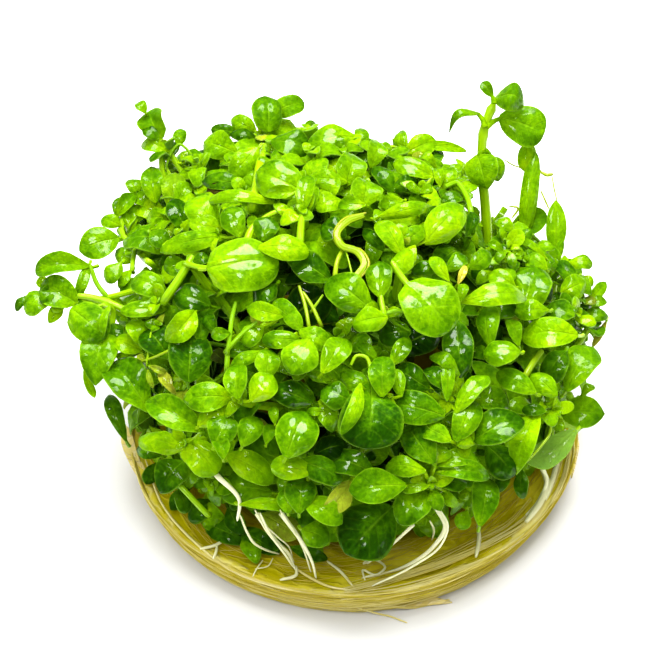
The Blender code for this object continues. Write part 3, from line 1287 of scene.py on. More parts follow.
@dataclass(frozen=True)
class JellyPad:
    """The disc of jelly: an uneven top and a wall with soft flow lines."""

    shape: PadShape = PAD
    unevenness: float = 0.3 * MM
    uneven_above: float = 0.9
    fill: float = 0.35
    meniscus: float = 1.0 * MM
    meniscus_width: float = 0.12

    def top(self, share: float) -> float:
        """Gives the height of the jelly's top, which climbs only close to the wall.

        Args:
            share: The share of its radius.

        Returns:
            The height there.
        """
        start = 1.0 - self.meniscus_width
        climb = self.meniscus * max(share - start, 0.0) / self.meniscus_width
        return self.shape.height - self.shape.rise * share ** 2 + climb

    def profile(self) -> list[tuple[float, float]]:
        """Gives the pad's outline.

        Returns:
            Its radii and heights, from the middle of its top down to the middle of its underside.
        """
        inset = self.shape.mat * self.fill + self.shape.gap
        rim = self.shape.wall(self.shape.height) - inset
        rings = 24
        top = [(rim * step / rings, self.top(step / rings)) for step in range(rings + 1)]
        levels = 5
        heights = [self.shape.height * (1.0 - step / levels) - self.shape.rise for step in range(1, levels)]
        side = [(self.shape.wall(height) - inset, height) for height in heights if height > 0.0]
        foot = [(self.shape.wall(0.0) - inset, 0.0), (0.0, 0.0)]
        return top + side + foot

    def build(self, material: bpy.types.Material) -> bpy.types.Object:
        """Makes the pad.

        Args:
            material: The jelly's finish.

        Returns:
            The pad.
        """
        shape = self.shape.turned("jelly", self.profile(), closed=False)
        for point in shape.verts:
            scale = self.shape.lobe(math.atan2(point.co.y, point.co.x))
            point.co.x *= scale
            point.co.y *= scale
            if point.co.z > self.shape.height * self.uneven_above:
                swirl = math.sin(point.co.x * 420.0 + 2.0 * math.sin(point.co.y * 260.0))
                point.co.z += self.unevenness * swirl * math.sin(point.co.y * 380.0 + point.co.x * 150.0)
        return settle("jelly_body", to_mesh("jelly_body", shape), material, ["jelly_pad"])


# How far off the pad a strand is laid, and the lowest height of its middle line
ROOT_LIFT = 0.12 * MM
LOWEST_ROOT = 0.25 * MM


@dataclass(frozen=True)
class Bundle:
    """Strands that the photograph shows side by side: their route, number, spread and width in pixels."""

    route: tuple[Pixel, ...]
    count: int
    spread: float
    width: float = 2.0
    tone: float = 0.9

    def strand(self, pad: PadShape, chance: random.Random) -> Route:
        """Lays one strand of the bundle on the pad.

        Args:
            pad: The pad's sizes.
            chance: The source of chance.

        Returns:
            The middle of each of its rings.
        """
        first = chance.uniform(-self.spread, self.spread)
        last = chance.uniform(-self.spread, self.spread)
        steps = len(self.route) - 1
        points = []
        for index, (across, down) in enumerate(self.route):
            drift = first + (last - first) * index / steps + chance.uniform(-0.25, 0.25) * self.spread
            points.append(pad.on_pad((across + drift * 0.5, down + drift), ROOT_LIFT))
        strand = SmoothPath(points).even(4 * steps)
        for place in strand:
            place.z = max(place.z, LOWEST_ROOT)
        return strand


SEEN_BUNDLES = (
    Bundle(((146, 461), (163, 506), (199, 546), (229, 569), (279, 587), (340, 596)), 4, 1.5, 2.4, 1.0),
    Bundle(((128, 445), (140, 483), (160, 519), (196, 557), (240, 582)), 4, 2.0, 1.8, 0.8),
    Bundle(
        ((345, 592), (395, 579), (445, 562), (495, 540), (535, 512), (553, 480), (564, 440)),
        11, 4.5, 1.6, 0.8,
    ),
    Bundle(
        ((340, 597), (395, 590), (445, 576), (495, 553), (538, 522), (560, 485), (570, 445)),
        11, 4.5, 1.5, 0.8,
    ),
    Bundle(((352, 588), (390, 574), (430, 560), (470, 541), (505, 522), (530, 496)), 5, 5.0, 1.2, 0.7),
    Bundle(((250, 585), (300, 599), (350, 604), (400, 600), (440, 590)), 7, 3.0, 1.4, 0.6),
    Bundle(((327, 561), (341, 572), (352, 585), (367, 606)), 2, 0.8, 2.6, 1.05),
    Bundle(((294, 567), (310, 577), (330, 586), (350, 589)), 2, 1.0, 2.4, 0.95),
    Bundle(((350, 603), (380, 606), (420, 607), (450, 601)), 5, 2.0, 1.6, 0.8),
    Bundle(((340, 600), (362, 609), (384, 615), (407, 623)), 2, 0.8, 1.6, 1.1),
    Bundle(((573, 430), (574, 452), (571, 474)), 4, 1.5, 1.8, 0.9),
)


@dataclass(frozen=True)
class Fray:
    """A scrap of film: the pixel and the height over the floor of each end, and its width in pixels."""

    base: Pixel
    base_height: float
    tip: Pixel
    tip_height: float
    width: float
    facing: Triple
    arch: float = 0.05


FRAYS = (
    Fray((124, 424), 8.8 * MM, (146, 490), 5.5 * MM, 13, (-0.4, -0.4, 0.8)),
    Fray((134, 458), 7.5 * MM, (168, 524), 4.0 * MM, 12, (-0.4, -0.5, 0.8)),
    Fray((572, 424), 8.4 * MM, (572, 478), 4.5 * MM, 10, (0.4, -0.5, 0.7)),
    Fray((352, 597), 1.4 * MM, (452, 602), 0.4 * MM, 20, (0.0, -0.3, 1.0), 0.01),
    Fray((300, 598), 2.0 * MM, (372, 607), 0.6 * MM, 9, (0.0, -0.5, 0.8), 0.01),
)


@dataclass(frozen=True)
class RootMat:
    """The mat of thin roots wound round the jelly, in front of a thin film."""

    shape: PadShape = PAD
    wall_strands: int = 120
    rim_strands: int = 24
    top_strands: int = 260
    pale_strands: int = 40
    painted_foot_glow: float = 0.7
    foot_height: float = 4.0 * MM
    fold_size: float = 0.005
    rag: float = 0.3 * MM
    film_inset: float = 0.25 * MM
    ripple_size: float = 0.12 * MM
    rings: int = 14
    seed: int = 11

    def film(self, material: bpy.types.Material) -> bpy.types.Object:
        """Makes the thin wall that the roots are pressed into.

        Args:
            material: The film's finish.

        Returns:
            The film.
        """
        levels = 7
        top = self.shape.height + self.shape.lip * 0.6
        heights = [top * (1.0 - step / levels) for step in range(levels + 1)]
        outer = [(self.shape.wall(height) - self.film_inset, height) for height in heights]
        inner_heights = (0.0, self.shape.height / 2, top)
        inner = [(self.shape.wall(height) - self.shape.mat, height) for height in inner_heights]
        shape = self.shape.turned("film", outer + inner, closed=True)
        for point in shape.verts:
            height = point.co.z
            turn = math.atan2(point.co.y, point.co.x)
            fold = math.sin(7.0 * turn + 900.0 * height) + 0.6 * math.sin(19.0 * turn - 1500.0 * height)
            scale = self.shape.lobe(turn) * (1.0 + self.fold_size * fold)
            point.co.x *= scale
            point.co.y *= scale
            if height > self.shape.height:
                point.co.z += self.rag * math.sin(11.0 * turn) * math.sin(23.0 * turn + 1.0)
        return settle("mat_film", to_mesh("mat_film", shape), material, ["root_mat"])

    def wall_route(self, chance: random.Random, low: float, high: float, start: float, span: float) -> Route:
        """Lays one root round the wall.

        Args:
            chance: The source of chance.
            low: The lowest height that it may start at.
            high: The highest height that it may start at.
            start: The angle where it starts.
            span: The angle that it covers.

        Returns:
            The middle of each of its rings.
        """
        height = chance.uniform(low, high)
        climb = chance.uniform(-3.2, 3.2) * MM
        sway = chance.uniform(0.1, 0.8) * MM
        beat = chance.uniform(2.0, 5.0)
        phase = chance.uniform(0.0, math.tau)
        proud = chance.uniform(-0.12, 0.22) * MM
        points = []
        for step in range(self.rings + 1):
            share = step / self.rings
            turn = start + span * share
            level = height + climb * (share - 0.5) + sway * math.sin(beat * turn + phase)
            level = min(max(level, LOWEST_ROOT), self.shape.height + self.shape.lip * 0.9)
            ripple = self.ripple_size * math.sin(9.0 * turn + phase)
            reach = self.shape.wall(level) * self.shape.lobe(turn) + proud + ripple
            points.append(round_axis(reach, turn, level))
        return points

    def top_route(self, chance: random.Random) -> Route:
        """Lays one root across the jelly's top, near its rim.

        Args:
            chance: The source of chance.

        Returns:
            The middle of each of its rings.
        """
        radius = chance.uniform(0.66, 1.0) * (self.shape.wall(self.shape.height) - self.shape.mat)
        start = chance.uniform(0.0, math.tau)
        span = chance.uniform(0.25, 1.3) * chance.choice((-1.0, 1.0))
        drift = chance.uniform(-9.0, 9.0) * MM
        phase = chance.uniform(0.0, math.tau)
        limit = self.shape.wall(self.shape.height) - self.shape.mat * 0.6
        points = []
        for step in range(self.rings + 1):
            share = step / self.rings
            turn = start + span * share
            drifted = radius + drift * (share - 0.5) + 1.5 * MM * math.sin(5.0 * share + phase)
            reach = min(drifted, limit) * self.shape.lobe(turn)
            level = self.shape.height - 0.1 * MM + 0.35 * MM * math.sin(6.0 * share + phase)
            points.append(round_axis(reach, turn, level))
        return points

    def strands(self, material: bpy.types.Material) -> bpy.types.Object:
        """Makes the thin roots in the mat and on the jelly.

        Args:
            material: The strands' finish.

        Returns:
            The strands, as one piece.
        """
        chance = random.Random(self.seed)
        piece = Piece("mat_roots")
        lip = self.shape.height + self.shape.lip
        for _ in range(self.wall_strands):
            start = chance.uniform(0.0, math.tau)
            route = self.wall_route(chance, 0.4 * MM, lip, start, chance.uniform(0.5, 2.6))
            thick = chance.uniform(0.05, 0.13) * MM
            tone = chance.choice((chance.uniform(0.0, 0.4), chance.uniform(0.3, 0.8)))
            # Painted light: strands that start low on the wall, near the floor, get a paler tone.
            tone += self.painted_foot_glow * max(1.0 - route[0].z / self.foot_height, 0.0)
            piece.tube(Tube(route, taper(thick, 0.4)), Marks(tone=tone), sides=4)
        for count, low, span, tones, end in (
            (self.rim_strands, lip - 1.6 * MM, (0.7, 2.8), (0.3, 0.9), 0.4),
            (self.pale_strands, 1.0 * MM, (0.5, 1.6), (0.7, 1.0), 0.3),
        ):
            for _ in range(count):
                start = chance.uniform(0.0, math.tau)
                route = self.wall_route(chance, low, lip, start, chance.uniform(*span))
                thick = chance.uniform(0.08, 0.2) * MM
                piece.tube(Tube(route, taper(thick, end)), Marks(tone=chance.uniform(*tones)), sides=4)
        for _ in range(self.top_strands):
            thick = chance.uniform(0.04, 0.1) * MM
            tone = chance.uniform(0.1, 0.65)
            piece.tube(Tube(self.top_route(chance), taper(thick, 0.5)), Marks(tone=tone), sides=4)
        for bundle in SEEN_BUNDLES:
            for _ in range(bundle.count):
                route = bundle.strand(self.shape, chance)
                thick = bundle.width / 2 * VIEW.pixel_size(VIEW.distance) * chance.uniform(0.6, 1.2)
                tone = bundle.tone + chance.uniform(-0.15, 0.15)
                piece.tube(Tube(route, taper(thick, 0.45)), Marks(tone=tone), sides=5)
        return piece.finish(material, "root_mat")

    def frays(self, material: bpy.types.Material) -> bpy.types.Object:
        """Makes the loose scraps of film at the pad's edge.

        Args:
            material: The film's finish.

        Returns:
            The scraps, as one piece.
        """
        piece = Piece("mat_frays")
        for fray in FRAYS:
            base = VIEW.at_height(fray.base, fray.base_height)
            tip = VIEW.at_height(fray.tip, fray.tip_height)
            blade = Blade(
                base, tip, Vector(fray.facing).normalized(), fray.width * VIEW.pixel_size(VIEW.distance),
                arch=fray.arch, cup=0.1, ripple=0.12, phase=fray.base[0], belly=0.3, wedge=0.3, point=0.9,
                thickness=0.2 * MM, wobble=0.14, dent=0.05,
            )
            piece.leaf(blade, Marks(tone=0.9), Stock.fine_leaf)
        return piece.finish(material, "root_mat")


def taper(thick: float, end: float) -> Callable[[float], float]:
    """Makes a radius that thins towards both ends.

    Args:
        thick: The radius in the middle.
        end: The share of it at the ends.

    Returns:
        The radius at a share of the length.
    """

    def radius(share: float) -> float:
        """Gives the radius at a share of the length."""
        return thick * (end + (1.0 - end) * math.sin(math.pi * min(max(share, 0.0), 1.0)) ** 0.4)

    return radius


# The share of a length past which it counts as its end
AT_END = 0.999


def pointed(thick: float, last: float) -> Callable[[float], float]:
    """Makes a radius that thins towards the last point and is rounded off there.

    Args:
        thick: The radius at the start.
        last: The share of it just before the end.

    Returns:
        The radius at a share of the length.
    """

    def radius(share: float) -> float:
        """Gives the radius at a share of the length."""
        body = thick * (1.0 + (last - 1.0) * share)
        return body * (0.35 if share > AT_END else 1.0)

    return radius


# Shoots


STEM_RADIUS = 1.1 * MM
SIDE_RADIUS = 0.7 * MM


@dataclass(frozen=True)
class Shoot:
    """A stem's route up to the middle of its leafy head."""

    name: str
    route: tuple[Vector, ...]
    radius: float = STEM_RADIUS

    def path(self) -> SmoothPath:
        """Gives the stem's curve."""
        return SmoothPath(self.route)

    def head(self) -> Vector:
        """Gives the middle of the leafy head."""
        return self.route[-1]


@dataclass(frozen=True)
class ShootRule:
    """How the dome's shoots are spaced, by the golden angle from the top downwards."""

    count: int = 16
    depth: float = 0.72
    lowest: float = math.radians(112.0)
    first_turn: float = math.radians(22.0)
    spread: float = 0.46
    foot: float = 7.3 * MM
    straight: float = 2.5 * MM
    knee: float = 0.25

    def outward(self, index: int) -> Vector:
        """Gives the direction of one shoot from the dome's middle."""
        return golden_direction(index, self.count, 1.0 - math.cos(self.lowest), self.first_turn)

    def shoot(self, index: int) -> Shoot:
        """Gives one shoot of the dome.

        Args:
            index: Its number, from 0 at the top.

        Returns:
            The shoot, from its foot in the pad up to its head.
        """
        centre = Vector(DOME.centre)
        head = centre + (DOME.skin(self.outward(index)) - centre) * self.depth
        foot = centre + (head - centre) * self.spread
        foot.z = self.foot
        knee = foot.lerp(head, self.knee)
        knee.z = (foot.z + head.z) / 2
        return Shoot(f"shoot_{index + 1:02d}", (foot, foot + UP * self.straight, knee, head))

    def all(self) -> list[Shoot]:
        """Gives every shoot of the dome."""
        return [self.shoot(index) for index in range(self.count)]


SIDE_SHOOTS = (
    Shoot("left_long", (at_mm(-38, 0, 36), at_mm(-44, 2, 37.5), at_mm(-52, 4, 37)), SIDE_RADIUS),
    Shoot("left_hanging", (at_mm(-38, -8, 25), at_mm(-42, -7, 29), at_mm(-45, -6, 34)), SIDE_RADIUS),
    Shoot("back_left", (at_mm(-26, 26, 38), at_mm(-30, 30, 42), at_mm(-34, 34, 47)), SIDE_RADIUS),
    Shoot("right_side", (at_mm(38, 2, 24), at_mm(41, 4, 28), at_mm(43, 5, 33)), SIDE_RADIUS),
    Shoot("right_low", (at_mm(37, -9, 13), at_mm(39, -9.5, 17), at_mm(41, -9, 21)), SIDE_RADIUS),
)
TALL_SHOOT = Shoot(
    "tall",
    (
        at_mm(17, 22, 7.3), at_mm(17, 22, 9.3), at_mm(20.5, 19.5, 24), at_mm(23.8, 18, 35.9),
        at_mm(23.4, 21, 42.6), at_mm(22.7, 24, 49.3), at_mm(23.2, 27, 55.9), at_mm(24.7, 29, 59.3),
    ),
)
UPRIGHT_SHOOT = Shoot(
    "upright",
    (at_mm(26, 8, 7.3), at_mm(26, 8, 9.3), at_mm(32, 9, 20), at_mm(35.3, 12, 30.6), at_mm(35.7, 14, 35.2)),
)


# What the photograph shows


class Tone(Enum):
    """How deep or bright a leaf's green is, which is partly its own green and partly painted light and shade.
    """

    DEEP = 0.08
    DUSK = 0.28
    DARK = 0.38
    SHADED = 0.49
    MID = 0.63
    LIME = 0.76
    BRIGHT = 0.9


@dataclass(frozen=True)
class SeenLeaf:
    """A leaf read from the photograph.

    Attributes:
        base: The pixel of its stalk end.
        tip: The pixel of its tip.
        width: Its width in pixels.
        tone: How bright it is.
        out: How far it stands out of its sprig, in millimetres.
        lean: How far its tip leans to the camera, against its length.
        arch: How high it bows along its length.
        cup: How far its sides bend up, or down below 0.
        wet: How wet it is, which also turns it up to the light.
        age: How withered it is.
        fold: How sharply it folds up along its midrib.
        curl: How far its tip curls down.
        tilt: How far it faces right.
        belly: The share of its length where it is widest.
        wedge: How narrow it is near its stalk.
        point: How pointed its tip is.
        flip: Whether its underside shows.
    """

    base: Pixel
    tip: Pixel
    width: float
    tone: Tone = Tone.LIME
    out: float = 0.0
    lean: float = 0.0
    arch: float = 0.15
    cup: float = -0.28
    wet: float = 0.55
    age: float = 0.0
    fold: float = 0.0
    curl: float = 0.0
    tilt: float = 0.0
    belly: float = 0.53
    wedge: float = 0.9
    point: float = 0.62
    flip: bool = False


@dataclass(frozen=True)
class SeenSprig:
    """Leaves round one growing point in the photograph, and how far out of the dome they stand, in mm."""

    name: str
    heart: Pixel
    out: float
    leaves: tuple[SeenLeaf, ...]
    shoot: str = ""
    buds: bool = True


@dataclass(frozen=True)
class SeenStalk:
    """A stem or thread in the photograph: its route and width in pixels, how far out it lies, in mm."""

    name: str
    route: tuple[Pixel, ...]
    width: float
    tone: Tone = Tone.BRIGHT
    out: float = 1.0
    age: float = 0.0
    shoot: str = ""
    flat: float = 1.0


SEEN_SPRIGS = (
    SeenSprig("crown", (264, 139), 2.0, (
        SeenLeaf((268, 132), (265, 96), 31, Tone.SHADED, 1.5, wedge=0.5, point=0.5, belly=0.45),
        SeenLeaf((270, 114), (304, 102), 23, Tone.MID, -2.0, point=0.4),
        SeenLeaf((271, 141), (309, 149), 30, Tone.SHADED, 0.5, wet=0.8),
        SeenLeaf((258, 147), (231, 178), 25, Tone.LIME, 2.0),
        SeenLeaf((237, 153), (203, 141), 30, Tone.LIME, 1.0),
        SeenLeaf((259, 141), (230, 133), 14, Tone.DARK, -1.5),
        SeenLeaf((256, 131), (231, 119), 20, Tone.LIME, -4.0),
        SeenLeaf((238, 133), (211, 129), 14, Tone.DARK, -4.5),
    )),
    SeenSprig("crown_right", (352, 142), 0.0, (
        SeenLeaf((303, 135), (317, 122), 15, Tone.SHADED, -3.0),
        SeenLeaf((357, 137), (306, 147), 30, Tone.LIME, 0.5, wet=0.9),
        SeenLeaf((362, 150), (361, 125), 15, Tone.MID, 0.5),
        SeenLeaf((371, 168), (378, 138), 20, Tone.LIME, 0.5),
        SeenLeaf((345, 186), (354, 152), 30, Tone.LIME, 0.0, wet=0.8),
        SeenLeaf((362, 207), (367, 178), 32, Tone.LIME, 1.0, cup=0.3),
        SeenLeaf((394, 192), (374, 166), 18, Tone.DARK, -1.5),
        SeenLeaf((347, 182), (307, 179), 20, Tone.LIME, -0.5),
        SeenLeaf((341, 200), (316, 209), 21, Tone.BRIGHT, 1.0),
        SeenLeaf((366, 205), (338, 206), 14, Tone.LIME, 1.5),
    )),
    SeenSprig("upper_broad", (303, 213), 2.0, (
        SeenLeaf((307, 194), (256, 171), 42, Tone.LIME, 1.0, wet=0.8),
        SeenLeaf((296, 191), (266, 193), 14, Tone.BRIGHT, 2.0, cup=0.3),
        SeenLeaf((303, 212), (309, 174), 19, Tone.LIME, 2.0, wet=0.9),
        SeenLeaf((262, 241), (269, 217), 27, Tone.SHADED, -1.0),
        SeenLeaf((258, 247), (309, 253), 25, Tone.BRIGHT, 1.5),
    )),
    SeenSprig("top_left_tip", (161, 156), 0.0, (
        SeenLeaf((146, 113), (136, 102), 11, Tone.MID, 1.0),
        SeenLeaf((162, 138), (149, 109), 27, Tone.MID, 0.0, cup=-0.1, wedge=0.5, point=0.5, wet=0.1),
        SeenLeaf((158, 139), (143, 126), 14, Tone.DARK, 1.0, cup=0.3),
        SeenLeaf((170, 151), (141, 142), 17, Tone.LIME, 0.0),
        SeenLeaf((179, 146), (181, 128), 14, Tone.MID, 0.0),
        SeenLeaf((182, 164), (190, 151), 11, Tone.BRIGHT, 0.0),
        SeenLeaf((155, 203), (151, 166), 23, Tone.MID, 3.0, fold=0.2),
        SeenLeaf((139, 194), (129, 178), 15, Tone.MID, -1.0),
        SeenLeaf((170, 208), (176, 171), 25, Tone.LIME, 3.0, age=0.1, fold=0.25),
        SeenLeaf((172, 178), (190, 196), 14, Tone.LIME, 2.5, fold=0.3),
        SeenLeaf((150, 206), (134, 196), 15, Tone.MID, 1.0),
        SeenLeaf((162, 210), (150, 224), 17, Tone.BRIGHT, 2.0, fold=0.3),
        SeenLeaf((146, 206), (130, 221), 17, Tone.LIME, 1.0, fold=0.25),
        SeenLeaf((176, 205), (188, 182), 17, Tone.LIME, 1.5, fold=0.3),
        SeenLeaf((150, 232), (168, 246), 19, Tone.SHADED, 1.0),
        SeenLeaf((172, 218), (146, 218), 18, Tone.BRIGHT, 2.5, fold=0.3),
    ), shoot="back_left", buds=False),
    SeenSprig("shoulder_left", (126, 236), 1.0, (
        SeenLeaf((117, 217), (136, 194), 15, Tone.MID, 0.5, wet=1.0, cup=0.4),
        SeenLeaf((116, 217), (119, 197), 9, Tone.SHADED, 0.0),
        SeenLeaf((131, 232), (130, 202), 18, Tone.LIME, 0.0),
        SeenLeaf((142, 208), (139, 189), 9, Tone.DARK, -0.5),
        SeenLeaf((168, 217), (133, 206), 21, Tone.BRIGHT, 1.0),
        SeenLeaf((150, 229), (166, 221), 11, Tone.LIME, 0.5),
        SeenLeaf((121, 225), (101, 219), 15, Tone.LIME, 0.5),
        SeenLeaf((119, 238), (79, 250), 33, Tone.MID, 1.0, wet=0.8),
        SeenLeaf((132, 262), (116, 250), 17, Tone.MID, 0.0),
    )),
    SeenSprig("left_sprawl", (76, 302), 0.0, (
        SeenLeaf((90, 266), (35, 271), 22, Tone.MID, 0.0, fold=0.35, belly=0.62, point=0.38),
        SeenLeaf((77, 303), (41, 284), 33, Tone.MID, 1.0, wet=0.8, wedge=0.6, fold=0.2),
        SeenLeaf((88, 265), (76, 300), 12, Tone.MID, 0.5),
        SeenLeaf((51, 291), (26, 313), 23, Tone.MID, 0.5),
        SeenLeaf((26, 296), (16, 309), 9, Tone.DARK, -0.5),
        SeenLeaf((51, 284), (36, 282), 12, Tone.BRIGHT, -0.5),
        SeenLeaf((62, 306), (49, 322), 14, Tone.BRIGHT, 0.0),
        SeenLeaf((121, 262), (107, 282), 18, Tone.MID, 0.5),
        SeenLeaf((131, 270), (119, 287), 11, Tone.LIME, 0.0),
        SeenLeaf((110, 299), (122, 303), 9, Tone.BRIGHT, 0.0),
        SeenLeaf((56, 292), (40, 302), 13, Tone.SHADED, 2.0),
        SeenLeaf((50, 286), (44, 298), 12, Tone.DARK, 1.5),
        SeenLeaf((62, 300), (54, 312), 13, Tone.BRIGHT, 1.5),
        SeenLeaf((74, 300), (84, 312), 12, Tone.DARK, 1.0),
        SeenLeaf((96, 303), (110, 318), 13, Tone.LIME, -0.5),
    ), shoot="left_long"),
    SeenSprig("left_hanging", (104, 305), 1.0, (
        SeenLeaf((71, 308), (106, 337), 40, Tone.MID, 1.5, wedge=0.5, point=0.5),
        SeenLeaf((109, 305), (103, 336), 9, Tone.LIME, 2.5, cup=-0.8, wedge=0.5),
        SeenLeaf((106, 322), (95, 385), 38, Tone.MID, 0.0, cup=-0.3, wedge=0.5, point=1.0, fold=0.2),
        SeenLeaf((85, 364), (96, 396), 9, Tone.BRIGHT, 0.5, arch=-0.2),
        SeenLeaf((112, 346), (118, 321), 15, Tone.DARK, -1.0),
    ), shoot="left_hanging", buds=False),
    SeenSprig("left_shoulder_low", (160, 302), 0.5, (
        SeenLeaf((167, 297), (132, 277), 27, Tone.LIME, 1.0, wet=0.9),
        SeenLeaf((167, 309), (120, 311), 18, Tone.LIME, 1.0, wet=0.9),
        SeenLeaf((142, 346), (132, 320), 21, Tone.LIME, 0.0),
        SeenLeaf((142, 351), (115, 340), 20, Tone.BRIGHT, 1.0),
        SeenLeaf((134, 359), (115, 355), 9, Tone.BRIGHT, 0.0),
        SeenLeaf((170, 358), (144, 328), 33, Tone.DARK, -2.5),
        SeenLeaf((172, 392), (160, 372), 12, Tone.LIME, -1.0, age=0.6),
        SeenLeaf((150, 366), (167, 372), 7, Tone.LIME, 0.5, age=0.4, fold=0.5),
        SeenLeaf((148, 370), (153, 388), 6, Tone.LIME, 0.5, age=0.3, fold=0.5),
        SeenLeaf((146, 362), (137, 355), 6, Tone.LIME, 0.5, age=0.4, fold=0.5),
        SeenLeaf((163, 384), (176, 393), 6, Tone.LIME, 0.0, age=0.6, fold=0.5),
        SeenLeaf((149, 411), (110, 361), 40, Tone.SHADED, 2.0, wet=0.8, fold=0.25, belly=0.62, point=0.45),
        SeenLeaf((126, 441), (108, 393), 17, Tone.DARK, 0.0),
    )),
    SeenSprig("wet_round_left", (216, 236), 1.0, (
        SeenLeaf((214, 180), (199, 149), 27, Tone.DARK, -0.5, wet=1.0),
        SeenLeaf((249, 187), (201, 179), 19, Tone.DARK, -1.5),
        SeenLeaf((237, 192), (206, 189), 12, Tone.DEEP, -3.0, age=1.0, wet=0.0, point=0.4, wedge=0.4),
        SeenLeaf((276, 203), (203, 201), 13, Tone.BRIGHT, 1.0, wet=0.9),
        SeenLeaf((240, 237), (228, 207), 26, Tone.MID, 1.0, wet=1.0),
        SeenLeaf((220, 234), (188, 199), 31, Tone.BRIGHT, 1.5),
        SeenLeaf((223, 229), (188, 224), 15, Tone.BRIGHT, 2.0),
        SeenLeaf((227, 236), (160, 251), 21, Tone.LIME, 1.0, wet=0.8),
        SeenLeaf((186, 233), (172, 199), 23, Tone.DARK, -0.5, wet=0.9),
    )),
    SeenSprig("broad_bright_left", (193, 267), 2.0, (
        SeenLeaf(
            (207, 268), (279, 261), 55, Tone.LIME, 2.5, arch=0.1, wet=1.0, belly=0.46, wedge=0.5, point=0.56,
        ),
        SeenLeaf((193, 262), (209, 257), 13, Tone.DARK, 0.0),
        SeenLeaf((185, 262), (164, 269), 21, Tone.MID, -0.5),
        SeenLeaf((210, 306), (174, 291), 29, Tone.DARK, -2.5, wet=1.0),
        SeenLeaf((195, 311), (166, 341), 28, Tone.BRIGHT, 0.5, fold=0.25),
        SeenLeaf((188, 382), (191, 331), 45, Tone.DARK, -2.5),
        SeenLeaf((201, 346), (198, 315), 17, Tone.SHADED, -4.0),
        SeenLeaf((214, 331), (205, 314), 16, Tone.DARK, -3.0),
        SeenLeaf((230, 333), (211, 336), 14, Tone.MID, 0.5),
    )),
    SeenSprig("fork_centre", (264, 326), 0.0, (
        SeenLeaf((263, 326), (243, 344), 21, Tone.LIME, 0.0, wet=0.8),
        SeenLeaf((226, 353), (251, 350), 18, Tone.SHADED, -2.0),
        SeenLeaf((226, 363), (212, 350), 15, Tone.DEEP, -3.0, age=0.4),
        SeenLeaf((284, 316), (246, 308), 20, Tone.BRIGHT, 2.0),
        SeenLeaf((302, 326), (269, 299), 23, Tone.LIME, 0.0, wet=1.0),
        SeenLeaf((301, 330), (285, 307), 17, Tone.LIME, 1.0),
        SeenLeaf((276, 284), (255, 304), 23, Tone.DARK, -1.0, wet=0.8),
        SeenLeaf((331, 281), (292, 262), 29, Tone.DARK, -2.5, wet=1.0),
        # Painted shade: these three DEEP leaves lie far back in the dark gaps.
        SeenLeaf((286, 322), (330, 290), 42, Tone.DEEP, -8.0),
        SeenLeaf((338, 320), (296, 296), 34, Tone.DEEP, -10.0),
        SeenLeaf((394, 350), (440, 330), 34, Tone.DEEP, -9.0),
    ), buds=False),
    SeenSprig("folded_centre", (300, 336), 1.0, (
        SeenLeaf((303, 341), (262, 339), 19, Tone.MID, 0.0, wet=0.9),
        SeenLeaf((309, 339), (292, 374), 38, Tone.LIME, 2.0, wet=0.7),
        SeenLeaf((299, 330), (332, 347), 21, Tone.LIME, 0.0),
        SeenLeaf((262, 351), (230, 369), 14, Tone.LIME, 0.0),
        SeenLeaf((266, 379), (268, 349), 25, Tone.LIME, 0.5),
        SeenLeaf((332, 379), (304, 365), 19, Tone.MID, -2.0),
        SeenLeaf((312, 403), (271, 388), 27, Tone.DARK, -2.0, wet=1.0),
    )),
    SeenSprig("cup_leaves", (240, 400), 2.0, (
        SeenLeaf((238, 399), (238, 363), 25, Tone.LIME, 2.0, cup=0.25, wet=0.7),
        SeenLeaf((233, 397), (183, 399), 31, Tone.LIME, 0.5, wet=0.7),
        SeenLeaf((251, 401), (273, 375), 30, Tone.BRIGHT, 1.0, wet=1.0),
        SeenLeaf((275, 424), (273, 405), 10, Tone.LIME, -1.5),
        SeenLeaf((266, 444), (271, 423), 13, Tone.MID, -2.0),
    )),
    SeenSprig("crest_right", (420, 192), 0.0, (
        SeenLeaf((405, 153), (399, 128), 13, Tone.MID, -1.0),
        SeenLeaf((404, 153), (436, 140), 24, Tone.BRIGHT, -1.0, fold=0.3),
        SeenLeaf((400, 146), (467, 149), 11, Tone.BRIGHT, -0.5, arch=0.08),
        SeenLeaf((437, 169), (418, 158), 9, Tone.BRIGHT, 0.0, arch=0.5),
        SeenLeaf((434, 177), (393, 163), 21, Tone.LIME, 1.0, wet=0.9),
        SeenLeaf((441, 189), (453, 167), 19, Tone.LIME, 0.0),
        SeenLeaf((440, 187), (437, 167), 11, Tone.LIME, 0.5),
        SeenLeaf((393, 189), (417, 180), 17, Tone.DARK, -1.5),
        SeenLeaf((420, 193), (406, 183), 9, Tone.LIME, 1.0),
        SeenLeaf((420, 193), (433, 186), 10, Tone.LIME, 1.0),
        SeenLeaf((403, 200), (380, 205), 14, Tone.LIME, 1.0),
        SeenLeaf((440, 204), (463, 196), 14, Tone.SHADED, 0.0, wet=0.9),
    )),
    SeenSprig("upper_ovals", (404, 247), 2.0, (
        SeenLeaf((378, 217), (432, 205), 16, Tone.BRIGHT, 0.5),
        SeenLeaf((403, 256), (377, 216), 22, Tone.BRIGHT, 2.5),
        SeenLeaf((402, 275), (407, 249), 22, Tone.BRIGHT, 3.0),
        SeenLeaf((399, 246), (426, 227), 19, Tone.LIME, 0.0),
        SeenLeaf((424, 243), (463, 205), 35, Tone.BRIGHT, 2.0, wet=0.8),
        SeenLeaf((428, 226), (438, 206), 15, Tone.DARK, -1.0),
        SeenLeaf((466, 237), (474, 211), 13, Tone.DARK, -2.0),
        SeenLeaf((385, 251), (361, 227), 13, Tone.DARK, -2.0),
        SeenLeaf((346, 236), (321, 224), 27, Tone.DARK, -3.0, wet=0.9),
    )),
    SeenSprig("middle_round", (384, 314), 2.0, (
        SeenLeaf((372, 310), (326, 279), 38, Tone.MID, 0.5, wet=1.0, arch=0.16),
        SeenLeaf((380, 297), (379, 261), 28, Tone.MID, 2.0, wet=1.0),
